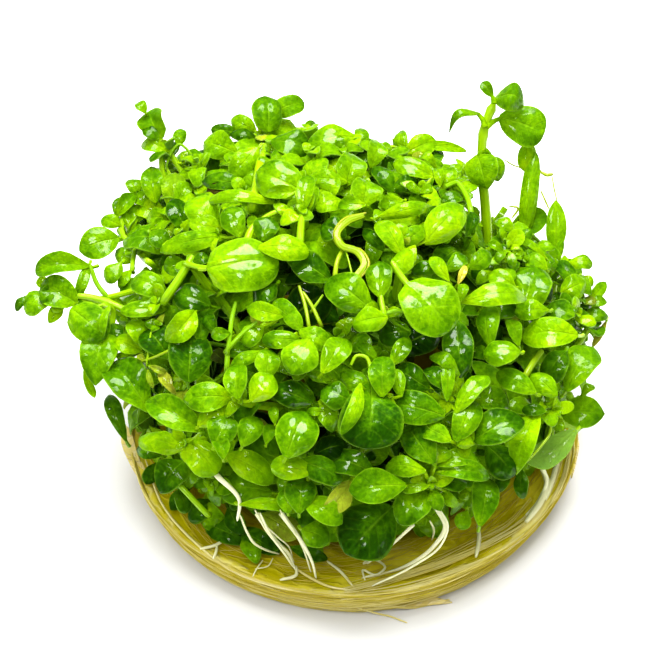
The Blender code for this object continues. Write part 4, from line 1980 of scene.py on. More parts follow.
        SeenLeaf((388, 317), (353, 325), 25, Tone.BRIGHT, 2.0),
        SeenLeaf((411, 331), (379, 336), 27, Tone.DARK, -3.5, wet=1.0),
    )),
    SeenSprig("broad_bright_right", (400, 274), 3.0, (
        SeenLeaf(
            (407, 283), (450, 330), 54, Tone.LIME, 3.0, arch=0.1, wet=1.0, wedge=0.45, point=0.5, tilt=0.45,
        ),
        SeenLeaf((441, 268), (411, 272), 15, Tone.DARK, -2.5, wet=0.9),
        SeenLeaf((449, 281), (430, 257), 14, Tone.BRIGHT, 0.5),
        SeenLeaf((447, 271), (466, 254), 17, Tone.MID, -2.5, wet=1.0),
        SeenLeaf((470, 269), (490, 252), 19, Tone.MID, -2.5, wet=1.0),
        SeenLeaf((458, 284), (466, 265), 8, Tone.BRIGHT, 0.0, age=1.0),
        SeenLeaf((460, 301), (465, 283), 11, Tone.LIME, 0.0),
        SeenLeaf((462, 302), (529, 292), 24, Tone.BRIGHT, 0.5, wet=0.8),
        SeenLeaf((456, 320), (461, 374), 32, Tone.DARK, -1.0, wet=0.8),
    ), buds=False),
    SeenSprig("upright_ovals", (384, 398), 2.0, (
        SeenLeaf((378, 361), (357, 342), 12, Tone.MID, -1.5),
        SeenLeaf((392, 365), (409, 337), 18, Tone.MID, -1.0, wet=1.0),
        SeenLeaf((382, 397), (383, 356), 28, Tone.MID, 1.5, cup=0.2),
        SeenLeaf((370, 389), (340, 373), 21, Tone.MID, -1.5),
        SeenLeaf((322, 373), (348, 337), 27, Tone.LIME, 0.5, wet=0.9),
        SeenLeaf((401, 397), (396, 369), 15, Tone.LIME, 0.0),
        SeenLeaf((429, 389), (397, 367), 27, Tone.DARK, -2.0, wet=1.0),
        SeenLeaf((362, 421), (357, 383), 14, Tone.LIME, 0.0),
        SeenLeaf((351, 401), (321, 391), 27, Tone.SHADED, 0.0, wet=0.8),
    )),
    SeenSprig("pointed_centre_right", (447, 398), 1.0, (
        SeenLeaf((460, 375), (430, 355), 15, Tone.MID, 0.0, arch=0.3),
        SeenLeaf((447, 401), (446, 352), 15, Tone.MID, 1.0),
        SeenLeaf((443, 389), (424, 368), 16, Tone.DARK, 0.5),
        SeenLeaf((445, 416), (386, 402), 35, Tone.SHADED, -0.5, wet=0.7),
        SeenLeaf((455, 413), (488, 375), 20, Tone.LIME, 1.5, wet=0.9),
        SeenLeaf((490, 347), (489, 303), 22, Tone.MID, -1.0, wet=0.7),
        SeenLeaf((520, 352), (484, 352), 26, Tone.LIME, 1.5, wet=1.0),
    )),
    SeenSprig("upper_right_cluster", (508, 250), 0.0, (
        SeenLeaf((514, 232), (496, 217), 14, Tone.LIME, 0.0, wet=0.9),
        SeenLeaf((503, 251), (488, 243), 9, Tone.MID, 0.0, wet=0.9, cup=0.5),
        SeenLeaf((506, 252), (495, 263), 9, Tone.MID, 0.5, wet=0.9, cup=0.5),
        SeenLeaf((510, 252), (513, 268), 10, Tone.LIME, 0.5, wet=0.9, cup=0.5),
        SeenLeaf((511, 249), (524, 254), 9, Tone.BRIGHT, 0.5, cup=0.5),
        SeenLeaf((547, 269), (526, 256), 17, Tone.LIME, 1.0),
        SeenLeaf((547, 259), (519, 238), 7, Tone.BRIGHT, 0.0, arch=0.25),
        SeenLeaf((515, 286), (489, 274), 19, Tone.BRIGHT, 1.0, wet=1.0),
        SeenLeaf((524, 312), (536, 266), 42, Tone.MID, -0.5, wet=1.0, point=0.5),
    )),
    SeenSprig("right_rosette", (574, 315), 0.0, (
        SeenLeaf((567, 265), (593, 262), 15, Tone.LIME, 0.0, cup=-0.5),
        SeenLeaf((573, 284), (557, 261), 19, Tone.DARK, -1.0),
        SeenLeaf((561, 293), (586, 281), 25, Tone.LIME, 1.0),
        SeenLeaf((583, 276), (593, 285), 9, Tone.BRIGHT, 0.0),
        SeenLeaf((588, 301), (606, 282), 13, Tone.LIME, 0.0),
        SeenLeaf((588, 303), (607, 301), 11, Tone.MID, 0.5),
        SeenLeaf((580, 318), (608, 316), 15, Tone.SHADED, 0.5, arch=0.25),
        SeenLeaf((607, 320), (593, 343), 7, Tone.MID, 0.5, age=0.7, arch=-0.15),
        SeenLeaf((578, 325), (602, 323), 10, Tone.DARK, 0.0),
        SeenLeaf((575, 315), (547, 308), 21, Tone.SHADED, 0.0),
        SeenLeaf((549, 310), (515, 312), 21, Tone.LIME, 0.5, wet=1.0),
        SeenLeaf((578, 335), (522, 335), 32, Tone.BRIGHT, 2.5, wet=1.0, arch=0.16),
        SeenLeaf((519, 346), (508, 317), 15, Tone.LIME, 0.0),
        SeenLeaf((566, 391), (593, 344), 34, Tone.MID, 2.0, belly=0.62, wedge=1.1),
        SeenLeaf((566, 351), (545, 380), 27, Tone.DARK, -1.5),
    ), shoot="right_side"),
    SeenSprig("right_low_rosette", (551, 410), 1.0, (
        SeenLeaf((536, 393), (497, 371), 23, Tone.MID, 0.5, wet=0.8),
        SeenLeaf((557, 396), (531, 373), 22, Tone.LIME, 1.0),
        SeenLeaf((581, 396), (594, 384), 9, Tone.LIME, 0.0),
        SeenLeaf((560, 411), (605, 414), 32, Tone.MID, 0.5, point=1.0, wedge=0.6),
        SeenLeaf((538, 411), (515, 470), 27, Tone.BRIGHT, 0.5, point=0.8),
        SeenLeaf((546, 411), (522, 410), 13, Tone.DARK, 0.0),
        SeenLeaf((576, 430), (526, 467), 28, Tone.BRIGHT, -1.0, lean=0.2, flip=True, point=0.9),
        SeenLeaf((562, 418), (556, 431), 11, Tone.LIME, 0.0),
    ), shoot="right_low"),
    SeenSprig("low_right_fan", (462, 443), 1.5, (
        SeenLeaf((472, 441), (524, 420), 34, Tone.SHADED, 1.5, wet=0.7),
        SeenLeaf((455, 441), (476, 401), 29, Tone.MID, 0.5, wet=1.0),
        SeenLeaf((473, 444), (455, 438), 17, Tone.BRIGHT, 1.5),
        SeenLeaf((451, 441), (417, 424), 21, Tone.LIME, 0.5),
        SeenLeaf((434, 463), (404, 417), 34, Tone.SHADED, -1.5, wet=0.7),
        SeenLeaf((487, 445), (513, 476), 34, Tone.DARK, -2.0),
    )),
    SeenSprig("low_right_rosette", (430, 481), 1.5, (
        SeenLeaf((426, 471), (385, 464), 21, Tone.LIME, 0.5),
        SeenLeaf((432, 471), (490, 474), 20, Tone.MID, 1.0, arch=0.2, fold=0.3),
        SeenLeaf((432, 464), (479, 456), 18, Tone.LIME, 0.0),
        SeenLeaf((436, 463), (441, 444), 20, Tone.LIME, -0.5),
        SeenLeaf((433, 478), (467, 485), 21, Tone.DARK, -0.5),
        SeenLeaf((431, 490), (440, 509), 16, Tone.LIME, 1.0),
        SeenLeaf((446, 491), (455, 507), 12, Tone.LIME, 0.5),
        SeenLeaf((429, 486), (403, 491), 10, Tone.LIME, 1.0),
        SeenLeaf((428, 489), (399, 523), 35, Tone.MID, 0.0),
        SeenLeaf((480, 526), (486, 476), 29, Tone.SHADED, 0.0),
        SeenLeaf((467, 511), (460, 529), 17, Tone.LIME, -0.5),
        SeenLeaf((521, 469), (522, 498), 15, Tone.DARK, -2.0),
        SeenLeaf((506, 469), (499, 491), 15, Tone.DARK, -2.0),
    )),
    SeenSprig("low_left_rosette", (186, 443), 1.5, (
        SeenLeaf((205, 431), (145, 401), 31, Tone.MID, 1.5, fold=0.25),
        SeenLeaf((198, 426), (228, 402), 25, Tone.BRIGHT, 0.0, wet=1.0),
        SeenLeaf((214, 446), (230, 416), 32, Tone.MID, 1.5),
        SeenLeaf((242, 446), (257, 416), 25, Tone.MID, 0.0),
        SeenLeaf((184, 449), (138, 437), 23, Tone.BRIGHT, 1.0),
        SeenLeaf((189, 440), (217, 474), 36, Tone.BRIGHT, -2.0),
        SeenLeaf((223, 459), (219, 437), 17, Tone.MID, 3.0, cup=0.3),
        SeenLeaf((184, 461), (160, 491), 33, Tone.DARK, -1.5),
        SeenLeaf((190, 464), (216, 479), 15, Tone.MID, -6.0),
        SeenLeaf((161, 456), (136, 448), 15, Tone.DARK, -1.0),
        SeenLeaf((178, 489), (186, 513), 17, Tone.DARK, -1.5),
    )),
    SeenSprig("low_left_broad", (226, 458), -3.0, (
        SeenLeaf((227, 454), (273, 479), 29, Tone.BRIGHT, -1.0),
        SeenLeaf((272, 492), (219, 487), 36, Tone.MID, -3.5, wet=0.7),
        SeenLeaf((241, 504), (297, 509), 13, Tone.BRIGHT, 1.0),
        SeenLeaf((204, 522), (247, 541), 24, Tone.DARK, -6.0),
        SeenLeaf((238, 528), (279, 552), 22, Tone.DARK, -6.0),
        SeenLeaf((214, 500), (190, 521), 22, Tone.DARK, -5.5),
        SeenLeaf((205, 503), (222, 531), 24, Tone.LIME, -6.0),
        SeenLeaf((228, 508), (243, 534), 20, Tone.DARK, -6.5),
        SeenLeaf((189, 488), (171, 509), 18, Tone.DARK, -5.0),
        SeenLeaf((158, 462), (147, 483), 17, Tone.DARK, -5.0),
        SeenLeaf((247, 535), (258, 559), 20, Tone.LIME, -7.0),
        SeenLeaf((282, 533), (268, 552), 18, Tone.DARK, -7.0),
        SeenLeaf((310, 540), (318, 559), 20, Tone.BRIGHT, -7.5),
        SeenLeaf((262, 514), (299, 536), 27, Tone.MID, -5.0, age=0.4),
    ), buds=False),
    SeenSprig("front_glossy", (310, 468), 1.0, (
        SeenLeaf((286, 457), (307, 411), 44, Tone.MID, 2.5, wet=1.0, arch=0.14),
        SeenLeaf((323, 412), (307, 411), 9, Tone.LIME, 0.5),
        SeenLeaf((321, 405), (334, 429), 19, Tone.LIME, 0.0, wet=1.0),
        SeenLeaf((337, 399), (346, 419), 13, Tone.DARK, -1.0),
        SeenLeaf((313, 471), (270, 465), 25, Tone.BRIGHT, 1.0, wet=0.8),
        SeenLeaf((299, 461), (342, 480), 27, Tone.SHADED, 0.0),
        SeenLeaf((299, 513), (300, 476), 33, Tone.SHADED, 0.5),
        SeenLeaf((288, 513), (286, 489), 20, Tone.MID, 2.0, cup=0.35),
        SeenLeaf((302, 499), (342, 523), 25, Tone.LIME, 1.0),
    ), buds=False),
    SeenSprig("front_broad", (374, 394), 2.0, (
        SeenLeaf(
            (371, 384), (367, 448), 64, Tone.DARK, 1.5, wet=0.2, arch=0.2, belly=0.66, wedge=0.72, point=0.44,
        ),
        SeenLeaf(
            (361, 383), (342, 434), 15, Tone.LIME, 4.0, cup=-0.9, wedge=0.6, point=0.5, arch=0.2, wet=0.3,
        ),
        SeenLeaf((374, 473), (329, 457), 29, Tone.DARK, -2.0, wet=1.0),
        SeenLeaf((350, 481), (324, 516), 22, Tone.LIME, -1.0, age=0.5, fold=0.2),
        # Painted shade: a DEEP leaf lies back in a dark gap.
        SeenLeaf((314, 454), (348, 444), 26, Tone.DEEP, -4.0),
        SeenLeaf((406, 485), (349, 490), 36, Tone.MID, 1.5, wet=0.7),
        SeenLeaf((392, 507), (345, 553), 62, Tone.DUSK, -1.5),
        SeenLeaf((302, 529), (329, 541), 27, Tone.MID, 0.0),
        SeenLeaf((290, 547), (327, 559), 14, Tone.DARK, -7.5),
    ), buds=False),
)

SEEN_STALKS = (
    SeenStalk("crown_stem", ((264, 146), (260, 165), (256, 190), (252, 206)), 10),
    SeenStalk("broad_stem", ((303, 211), (301, 226), (300, 243)), 8, Tone.LIME),
    SeenStalk("pair_stem", ((263, 219), (252, 229), (246, 247)), 8, Tone.BRIGHT),
    SeenStalk("arched_base", ((262, 219), (280, 211), (299, 219)), 6, Tone.BRIGHT),
    SeenStalk("thick_left_stem", ((193, 256), (181, 276), (166, 298)), 9, Tone.LIME, out=2.5),
    SeenStalk("broad_left_stalk", ((210, 268), (198, 267), (188, 264)), 6, Tone.LIME, out=4.0),
    SeenStalk("fork_upright", ((236, 302), (232, 318), (230, 335), (228, 350)), 5, Tone.MID),
    SeenStalk("fork_right", ((257, 322), (242, 334), (228, 349)), 5, Tone.MID),
    SeenStalk("fork_foot", ((228, 348), (227, 367)), 6, Tone.MID, out=0.0),
    SeenStalk("gap_sprout_left", ((299, 286), (305, 305), (309, 327)), 4, Tone.LIME, out=-1.0, age=0.3),
    SeenStalk("gap_sprout_right", ((303, 292), (312, 306), (320, 323)), 4, Tone.LIME, out=-1.0, age=0.3),
    SeenStalk("gap_sprout_side", ((323, 295), (313, 309)), 3, Tone.LIME, out=-1.0, age=0.2),
    SeenStalk("low_left_stem", ((170, 475), (188, 494), (206, 513)), 6, Tone.LIME),
    SeenStalk("sprawl_stem", ((46, 303), (76, 303), (110, 297), (137, 290)), 6, shoot="left_long"),
    SeenStalk("sprawl_branch", ((90, 265), (97, 284), (108, 298)), 5, Tone.MID, shoot="left_long"),
    SeenStalk("withered_joint", ((142, 361), (155, 357), (168, 351)), 3, Tone.LIME, out=1.0, age=0.3),
    SeenStalk("pale_stalk_left", ((151, 332), (149, 347), (147, 362)), 2.5, Tone.BRIGHT, out=1.0),
    SeenStalk("top_left_stem", ((161, 150), (162, 170), (168, 192), (176, 208)), 6, shoot="back_left"),
    SeenStalk(
        "arched_stalk", ((166, 168), (170, 155), (179, 144), (190, 153), (193, 178), (197, 195)), 3, Tone.MID,
        shoot="back_left",
    ),
    SeenStalk("shoulder_stem", ((123, 214), (122, 234), (134, 247), (150, 263)), 7),
    SeenStalk("shoulder_pale_stem", ((137, 240), (134, 254), (132, 270)), 5, Tone.LIME),
    SeenStalk("crest_arch", ((445, 187), (457, 183), (466, 195), (471, 213)), 6, Tone.MID),
    SeenStalk(
        "withered_curl", ((364, 215), (347, 222), (337, 235), (342, 246), (356, 251), (364, 263), (352, 281)),
        7.5, Tone.MID, out=2.5, age=0.35, flat=0.2,
    ),
    SeenStalk(
        "withered_edge", ((366, 213), (344, 219), (334, 236), (341, 248), (359, 249), (369, 263), (355, 283)),
        3, Tone.BRIGHT, out=2.0, age=0.8,
    ),
    SeenStalk("withered_strand", ((345, 246), (337, 262), (335, 276)), 5, Tone.LIME, out=1.0, age=0.4),
    SeenStalk("withered_thread", ((345, 248), (349, 262), (353, 279)), 2, Tone.BRIGHT, out=1.5),
    SeenStalk("round_leaf_stalk", ((381, 296), (382, 304), (384, 314)), 6, Tone.LIME, out=4.0),
    SeenStalk("round_leaf_link", ((403, 311), (394, 311), (385, 314)), 5, Tone.MID, out=3.0),
    SeenStalk("broad_right_stalk", ((392, 262), (399, 273), (408, 285)), 7, Tone.LIME, out=5.0),
    SeenStalk("small_curl", ((351, 365), (356, 356), (366, 357), (371, 370)), 4, Tone.BRIGHT, out=2.0),
    SeenStalk("olive_stalk", ((542, 351), (533, 363), (525, 376)), 7, Tone.MID, out=-2.0, age=0.3),
    SeenStalk(
        "pale_stem", ((517, 471), (541, 446), (550, 433), (551, 419)), 3, Tone.BRIGHT, out=3.0, age=0.2,
    ),
)


# The outline of the foliage in the photograph, past which no grown leaf reaches


@dataclass(frozen=True)
class Silhouette:
    """A closed outline in pixels of the photograph."""

    corners: tuple[Pixel, ...]

    def holds(self, place: Vector) -> bool:
        """Tells whether a place shows inside the outline.

        Args:
            place: A place in the frame.

        Returns:
            Whether it does.
        """
        spot = VIEW.pixel_of(place)
        inside = False
        for start, end in zip(self.corners, self.corners[1:] + self.corners[:1]):
            if (start[1] > spot[1]) != (end[1] > spot[1]):
                share = (spot[1] - start[1]) / (end[1] - start[1])
                if spot[0] < start[0] + share * (end[0] - start[0]):
                    inside = not inside
        return inside


SILHOUETTE = Silhouette((
    (97, 300), (110, 250), (110, 212), (135, 180), (135, 105), (165, 108), (188, 135), (196, 150),
    (215, 122), (240, 110), (264, 104), (303, 112), (340, 122), (372, 130), (400, 128), (432, 134),
    (465, 150), (486, 190), (505, 220), (545, 228), (580, 255), (604, 285), (606, 330), (598, 380),
    (590, 425), (560, 445), (535, 480), (500, 512), (470, 538), (420, 545), (385, 560), (330, 562),
    (270, 560), (215, 548), (180, 515), (150, 480), (120, 445), (103, 400), (100, 350),
))


# Where the photograph shows a bare stem or a dark gap: left, top, right and bottom in pixels
WINDOWS = (
    (476, 186, 499, 246), (286, 283, 331, 327), (396, 328, 438, 346), (322, 434, 346, 468),
    (452, 326, 480, 350), (136, 252, 160, 274), (204, 345, 226, 366),
)


def in_window(place: Vector) -> bool:
    """Tells whether a place shows in one of the windows."""
    across, down = VIEW.pixel_of(place)
    return any(left < across < right and top < down < bottom for left, top, right, bottom in WINDOWS)


# Sprigs behind the seen leaves, which close the crown: the pixel of each heart, and how far out it is in mm
BACKING_HEARTS = (
    ((226, 160), -3.0), ((245, 168), -4.0), ((285, 165), -3.0), ((330, 158), -3.0), ((345, 170), -4.0),
    ((385, 158), -3.0), ((415, 168), -4.0), ((445, 180), -3.0), ((462, 205), -3.0), ((190, 180), -2.0),
    ((165, 195), -2.0), ((150, 225), -3.0), ((175, 240), -4.0), ((140, 250), -3.0), ((150, 285), -4.0),
    ((130, 320), -4.0), ((468, 238), -4.0), ((502, 232), -4.0), ((530, 250), -3.0), ((560, 270), -2.0),
    ((215, 215), -4.0), ((205, 165), -4.0), ((310, 135), -4.0), ((355, 150), -4.0),
)

# Small sprigs between the seen leaves, where the photograph shows tufts, given in the same way
FINE_HEARTS = (
    ((494, 246), -0.5), ((506, 240), -0.5), ((519, 243), 0.0), ((531, 252), 0.0), ((512, 256), 0.5),
    ((500, 262), 0.0), ((524, 262), 0.5), ((540, 262), 0.0), ((428, 190), 0.0), ((450, 200), 0.0),
    ((438, 214), -1.0), ((410, 172), -1.0), ((150, 262), -1.0), ((145, 232), 0.0), ((158, 212), 0.0),
    ((200, 468), -1.0), ((212, 482), -2.0), ((566, 308), 1.0), ((580, 300), 1.0), ((590, 312), 0.5),
    ((545, 403), 1.5), ((437, 455), 1.0), ((300, 345), 0.0), ((160, 325), 0.0), ((340, 150), 0.5),
)
FINE_SCALE = 0.5


# Growing the leaves


@dataclass(frozen=True)
class Tier:
    """One pair of leaves on a sprig: how far below its heart, how long, how open and how turned."""

    below: float
    length: float
    open: float
    turn: float


TIERS = (
    Tier(5.5 * MM, 8.6 * MM, math.radians(82.0), 0.0),
    Tier(2.8 * MM, 7.4 * MM, math.radians(64.0), math.pi / 2),
    Tier(0.9 * MM, 4.6 * MM, math.radians(46.0), 0.0),
    Tier(0.1 * MM, 2.4 * MM, math.radians(24.0), math.pi / 2),
)
BUD_TIERS = TIERS[2:]
YOUNG_LENGTH = 5.0 * MM
STALKED_LENGTH = 4.0 * MM


@dataclass(frozen=True)
class Sprig:
    """A growing point: its shoot, its place and way, its size against a full sprig, its tone and wetness."""

    shoot: Shoot
    heart: Vector
    axis: Vector
    scale: float
    tone: float
    wet: float = 0.5


@dataclass(frozen=True)
class LeafSize:
    """What a seen leaf's width in pixels decides: how far chance may bend it, and how fine its mesh is."""

    above: float
    flexible: float
    grain: tuple[int, int]


LEAF_SIZES = (
    LeafSize(40.0, 0.25, Stock.broad_leaf),
    LeafSize(24.0, 0.6, Stock.fine_leaf),
    LeafSize(0.0, 1.0, Stock.plain_leaf),
)


@dataclass
class LeafyHeads:
    """Every leaf and twig of the dome and of the side shoots, one pair of pieces for each shoot.

    Attributes:
        finishes: The materials.
        seed: The seed of the random draws.
        clear_height: The lowest height of a leaf's ends and of a heart.
        lowest: How far from the dome's top the grown sprigs go, as an angle.
        outer_sprigs: The number of grown sprigs near the surface.
        inner_sprigs: The number of grown sprigs deeper in.
        gaps: The share of the grown sprigs that is left out at the front.
        window_tone: The tone above which a sprig's leaves stay out of the windows.
        crown_sprigs: The number of sprigs tried behind the crown.
        crown_depth: How far down from the dome's top they go.
        crown_turn: The angle of the first one.
        crown_edge_px: The pixel row under which none of them is kept.
        crown_slope: How much that row falls for each pixel left of the column of the same number.
        crown_back: How far the skin may face away from the camera there.
        crown_room: The room that each of them needs inside the outline.
        surface_sink: How deep under the skin a grown heart lies.
        shown_sink: How much deeper it lies where the photograph shows the dome.
        deep_sink: How much deeper it lies in the inner layer.
        crown_sink: How far a crown heart is pushed back from the camera.
        stalk_tuck: How far the end of a seen stem goes back into the dome.
        bare_front: How much the skin faces the camera where grown sprigs are left out.
        seen_heart_sink_mm: How far a seen sprig's heart lies behind its leaves.
        given_heart_sink_mm: How far a heart that is given by pixel lies behind its pixel's depth.
        lowest_fork: The lowest share of a stem's length where a twig may start.
        highest_fork: The highest share where one may start.
        fork_run: The least length of stem that the fork's height is reckoned with.
        longest_pull: The longest straight run at a twig's end.
        shortest_twig: The length under which no twig is made.
        shortest_stalk: The length under which no stalk is made.
        stalk_reach: The distance to the heart from which a stalk starts behind its leaf instead.
        stalk_root: How far behind the leaf it starts then.
        seen_twig: The radius of a seen sprig's twig.
        grown_twig: The radius of a grown sprig's twig.
        crown_twig: The radius of a crown sprig's twig.
        seen_stalk: The radius of a seen leaf's stalk.
        grown_stalk: The radius of a grown leaf's stalk.
    """

    finishes: Finishes
    seed: int = 5
    clear_height: float = PAD.height + PAD.lip + 0.6 * MM
    lowest: float = math.radians(119.0)
    outer_sprigs: int = 150
    inner_sprigs: int = 120
    gaps: float = 0.4
    window_tone: float = 0.25
    crown_sprigs: int = 210
    crown_depth: float = 0.8
    crown_turn: float = 0.9
    crown_edge_px: float = 232.0
    crown_slope: float = 0.5
    crown_back: float = -0.35
    crown_room: float = 5.0 * MM
    surface_sink: float = 2.5 * MM
    shown_sink: float = 5.5 * MM
    deep_sink: float = 5.0 * MM
    crown_sink: float = 5.0 * MM
    stalk_tuck: float = 6.0 * MM
    bare_front: float = 0.6
    seen_heart_sink_mm: float = 1.5
    given_heart_sink_mm: float = 3.0
    lowest_fork: float = 0.35
    highest_fork: float = 0.98
    fork_run: float = 20.0 * MM
    longest_pull: float = 9.0 * MM
    shortest_twig: float = 1.5 * MM
    shortest_stalk: float = 0.6 * MM
    stalk_reach: float = 6.0 * MM
    stalk_root: float = 3.5 * MM
    seen_twig: float = 0.75 * MM
    grown_twig: float = 0.6 * MM
    crown_twig: float = 0.5 * MM
    seen_stalk: float = 0.36 * MM
    grown_stalk: float = 0.4 * MM

    def __post_init__(self) -> None:
        """Lists the shoots and starts their pieces."""
        self.chance = random.Random(self.seed)
        self.shoots = ShootRule().all() + list(SIDE_SHOOTS)
        self.by_name = {shoot.name: shoot for shoot in self.shoots}
        self.leaves = {shoot.name: Piece(f"{shoot.name}_foliage") for shoot in self.shoots}
        self.twigs = {shoot.name: Piece(f"{shoot.name}_twigs") for shoot in self.shoots}

    def nearest(self, place: Vector) -> Shoot:
        """Finds the dome's shoot whose head is nearest to a place."""
        dome_shoots = self.shoots[: ShootRule.count]
        return min(dome_shoots, key=lambda shoot: (shoot.head() - place).length)

    def raised(self, place: Vector) -> Vector:
        """Lifts a place clear of the pad, towards the camera, so that it keeps its pixel.

        Args:
            place: The place.

        Returns:
            The same place, or the lifted one where it was too low.
        """
        if place.z >= self.clear_height:
            return place
        toward = VIEW.toward()
        return place + toward * ((self.clear_height - place.z) / toward.z)

    def depth(self, pixel: Pixel, out: float, side: Shoot | None) -> float:
        """Finds how deep a seen thing lies behind its pixel.

        Args:
            pixel: Its pixel.
            out: How far it stands out of the dome, in millimetres.
            side: The side shoot that it is on, or None on the dome.

        Returns:
            The depth before the camera.
        """
        behind = DOME.depth_behind(pixel, VIEW)
        if side:
            behind = min(behind, VIEW.depth_of(side.head()))
        return behind - out * MM

    def seen_place(self, pixel: Pixel, out: float, side: Shoot | None) -> Vector:
        """Gives the place of a seen thing, from the same three values."""
        return self.raised(VIEW.at_depth(pixel, self.depth(pixel, out, side)))

    def twig(self, shoot: Shoot, heart: Vector, axis: Vector, thick: float, tone: float) -> None:
        """Grows a twig from a shoot's stem out to a heart.

        Args:
            shoot: The shoot that carries it.
            heart: The growing point at its end.
            axis: The way that it grows there.
            thick: Its radius at the heart.
            tone: How bright its green is.
        """
        path = shoot.path()
        reach = (heart - shoot.head()).length
        fall = reach / max(path.length, self.fork_run) * 0.5
        start = path.at(max(self.lowest_fork, self.highest_fork - fall))
        gap = (heart - start).length
        if gap < self.shortest_twig:
            return
        pull = axis * min(gap * 0.45, self.longest_pull)
        bend = start.lerp(heart - pull, 0.55) + UP * (gap * 0.05)
        route = SmoothPath([start, bend, heart - pull * 0.5, heart])
        self.twigs[shoot.name].tube(
            Tube(route.even(8), lambda share: thick * (1.25 - 0.25 * share)), Marks(tone=tone, wet=0.5)
        )

    def stalk(self, shoot: Shoot, start: Vector, end: Vector, thick: float, tone: float) -> None:
        """Adds a leaf's stalk, unless it would be too short.

        Args:
            shoot: The shoot that carries it.
            start: Its end at the twig.
            end: Its end at the leaf.
            thick: Its radius at the twig.
            tone: How bright its green is.
        """
        gap = (end - start).length
        if gap < self.shortest_stalk:
            return
        route = SmoothPath([start, start.lerp(end, 0.5) - UP * (gap * 0.08), end])
        self.twigs[shoot.name].tube(
            Tube(route.even(4), lambda share: thick * (1.0 - 0.3 * share)), Marks(tone=tone, wet=0.5), sides=5
        )

    def grow(self, sprig: Sprig, tiers: Sequence[Tier] = TIERS) -> None:
        """Grows pairs of leaves round a heart.

        Args:
            sprig: The growing point.
            tiers: The pairs of leaves, the lowest first.
        """
        first = sprig.axis.orthogonal().normalized()
        second = sprig.axis.cross(first)
        start = self.chance.uniform(0.0, math.tau)
        for tier in tiers:
            for side in (0.0, math.pi):
                turn = start + tier.turn + side + self.chance.uniform(-0.35, 0.35)
                self.grown_leaf(sprig, tier, first * math.cos(turn) + second * math.sin(turn))

    def grown_leaf(self, sprig: Sprig, tier: Tier, radial: Vector) -> None:
        """Grows one leaf, unless it would pass the photograph's outline or show in a window.

        Args:
            sprig: The growing point.
            tier: The pair that the leaf is in.
            radial: The side of the sprig that it grows on.
        """
        chance = self.chance
        opening = tier.open * chance.uniform(0.8, 1.15)
        length = tier.length * sprig.scale * chance.uniform(0.82, 1.18)
        way = (sprig.axis * math.cos(opening) + radial * math.sin(opening)).normalized()
        facing = sprig.axis * math.sin(opening) - radial * math.cos(opening)
        node = sprig.heart - sprig.axis * (tier.below * sprig.scale)
        base = node + way * (length * 0.16)
        tip = base + way * length - UP * (length * 0.08)
        low = min(base.z, tip.z)
        if low < self.clear_height:
            lift = UP * (self.clear_height - low)
            base = base + lift
            tip = tip + lift
        blade = Blade(
            base, tip, (facing + UP * 0.25).normalized(), length * chance.uniform(0.58, 0.8),
            arch=chance.uniform(0.06, 0.28), cup=chance.uniform(-0.45, 0.1),
            fold=chance.uniform(0.0, 0.25), curl=chance.choice((0.0, 0.0, 0.5, 1.2)),
            ripple=chance.uniform(0.02, 0.08), twist=chance.uniform(-0.4, 0.4),
            phase=chance.uniform(0.0, math.tau), belly=chance.uniform(0.44, 0.56),
            wedge=chance.uniform(0.65, 1.0), point=chance.uniform(0.45, 0.75),
        )
        if not SILHOUETTE.holds(tip + (tip - base) * 0.1):
            return
        if sprig.tone > self.window_tone and (in_window(tip) or in_window((base + tip) / 2)):
            return
        young = 0.12 if tier.length < YOUNG_LENGTH else 0.0
        tone = sprig.tone + young + chance.uniform(-0.12, 0.12)
        age = 0.4 if chance.random() < 0.02 and sprig.tone > 0.5 else 0.0
        wet = min(max(sprig.wet + chance.uniform(-0.3, 0.4), 0.0), 1.0)
        self.leaves[sprig.shoot.name].leaf(blade, Marks(tone=tone, age=age, wet=wet), Stock.small_leaf)
        if tier.length > STALKED_LENGTH:
            end = base + way * 0.2 * MM
            self.stalk(sprig.shoot, node, end, self.grown_stalk * sprig.scale, min(tone, 1.0))

    def seen_leaf(
        self, seen: SeenLeaf, sprig: SeenSprig, shoot: Shoot, side: Shoot | None, heart: Vector
    ) -> None:
        """Places a leaf where the photograph shows it.

        Args:
            seen: The leaf.
            sprig: The sprig that it is on.
            shoot: The shoot that carries the sprig.
            side: The side shoot whose depth the sprig has, or None on the dome.
            heart: The sprig's growing point.
        """
        mark = seen.base[0] * 7919 + seen.base[1] * 104729 + seen.tip[0] * 31 + seen.tip[1]
        chance = random.Random(round(mark))
        kind = next(kind for kind in LEAF_SIZES if seen.width > kind.above)
        flexible = kind.flexible
        middle = ((seen.base[0] + seen.tip[0]) / 2, (seen.base[1] + seen.tip[1]) / 2)
        depth = self.depth(middle, sprig.out + seen.out, side)
        size = VIEW.pixel_size(depth)
        across = (seen.tip[0] - seen.base[0]) * size
        rise = (seen.base[1] - seen.tip[1]) * size
        length = math.hypot(across, rise)
        lean = seen.lean + chance.uniform(-0.08, 0.08) - 0.38 * rise / length
        base = self.raised(VIEW.at_depth(seen.base, depth + 0.5 * lean * length))
        tip = self.raised(VIEW.at_depth(seen.tip, depth - 0.5 * lean * length))
        toward = VIEW.toward()
        loose = 0.2 + 0.45 * flexible
        tilt = Vector((chance.uniform(-loose, loose) + seen.tilt, 0.0, chance.uniform(-0.4, 0.5)))
        facing = (toward + UP * (0.05 + 0.62 * seen.wet) + tilt).normalized()
        if seen.flip:
            facing.negate()
        sideways = (tip - base).cross(facing).normalized()
        seen_share = math.sqrt(max(1.0 - sideways.dot(toward) ** 2, 0.35))
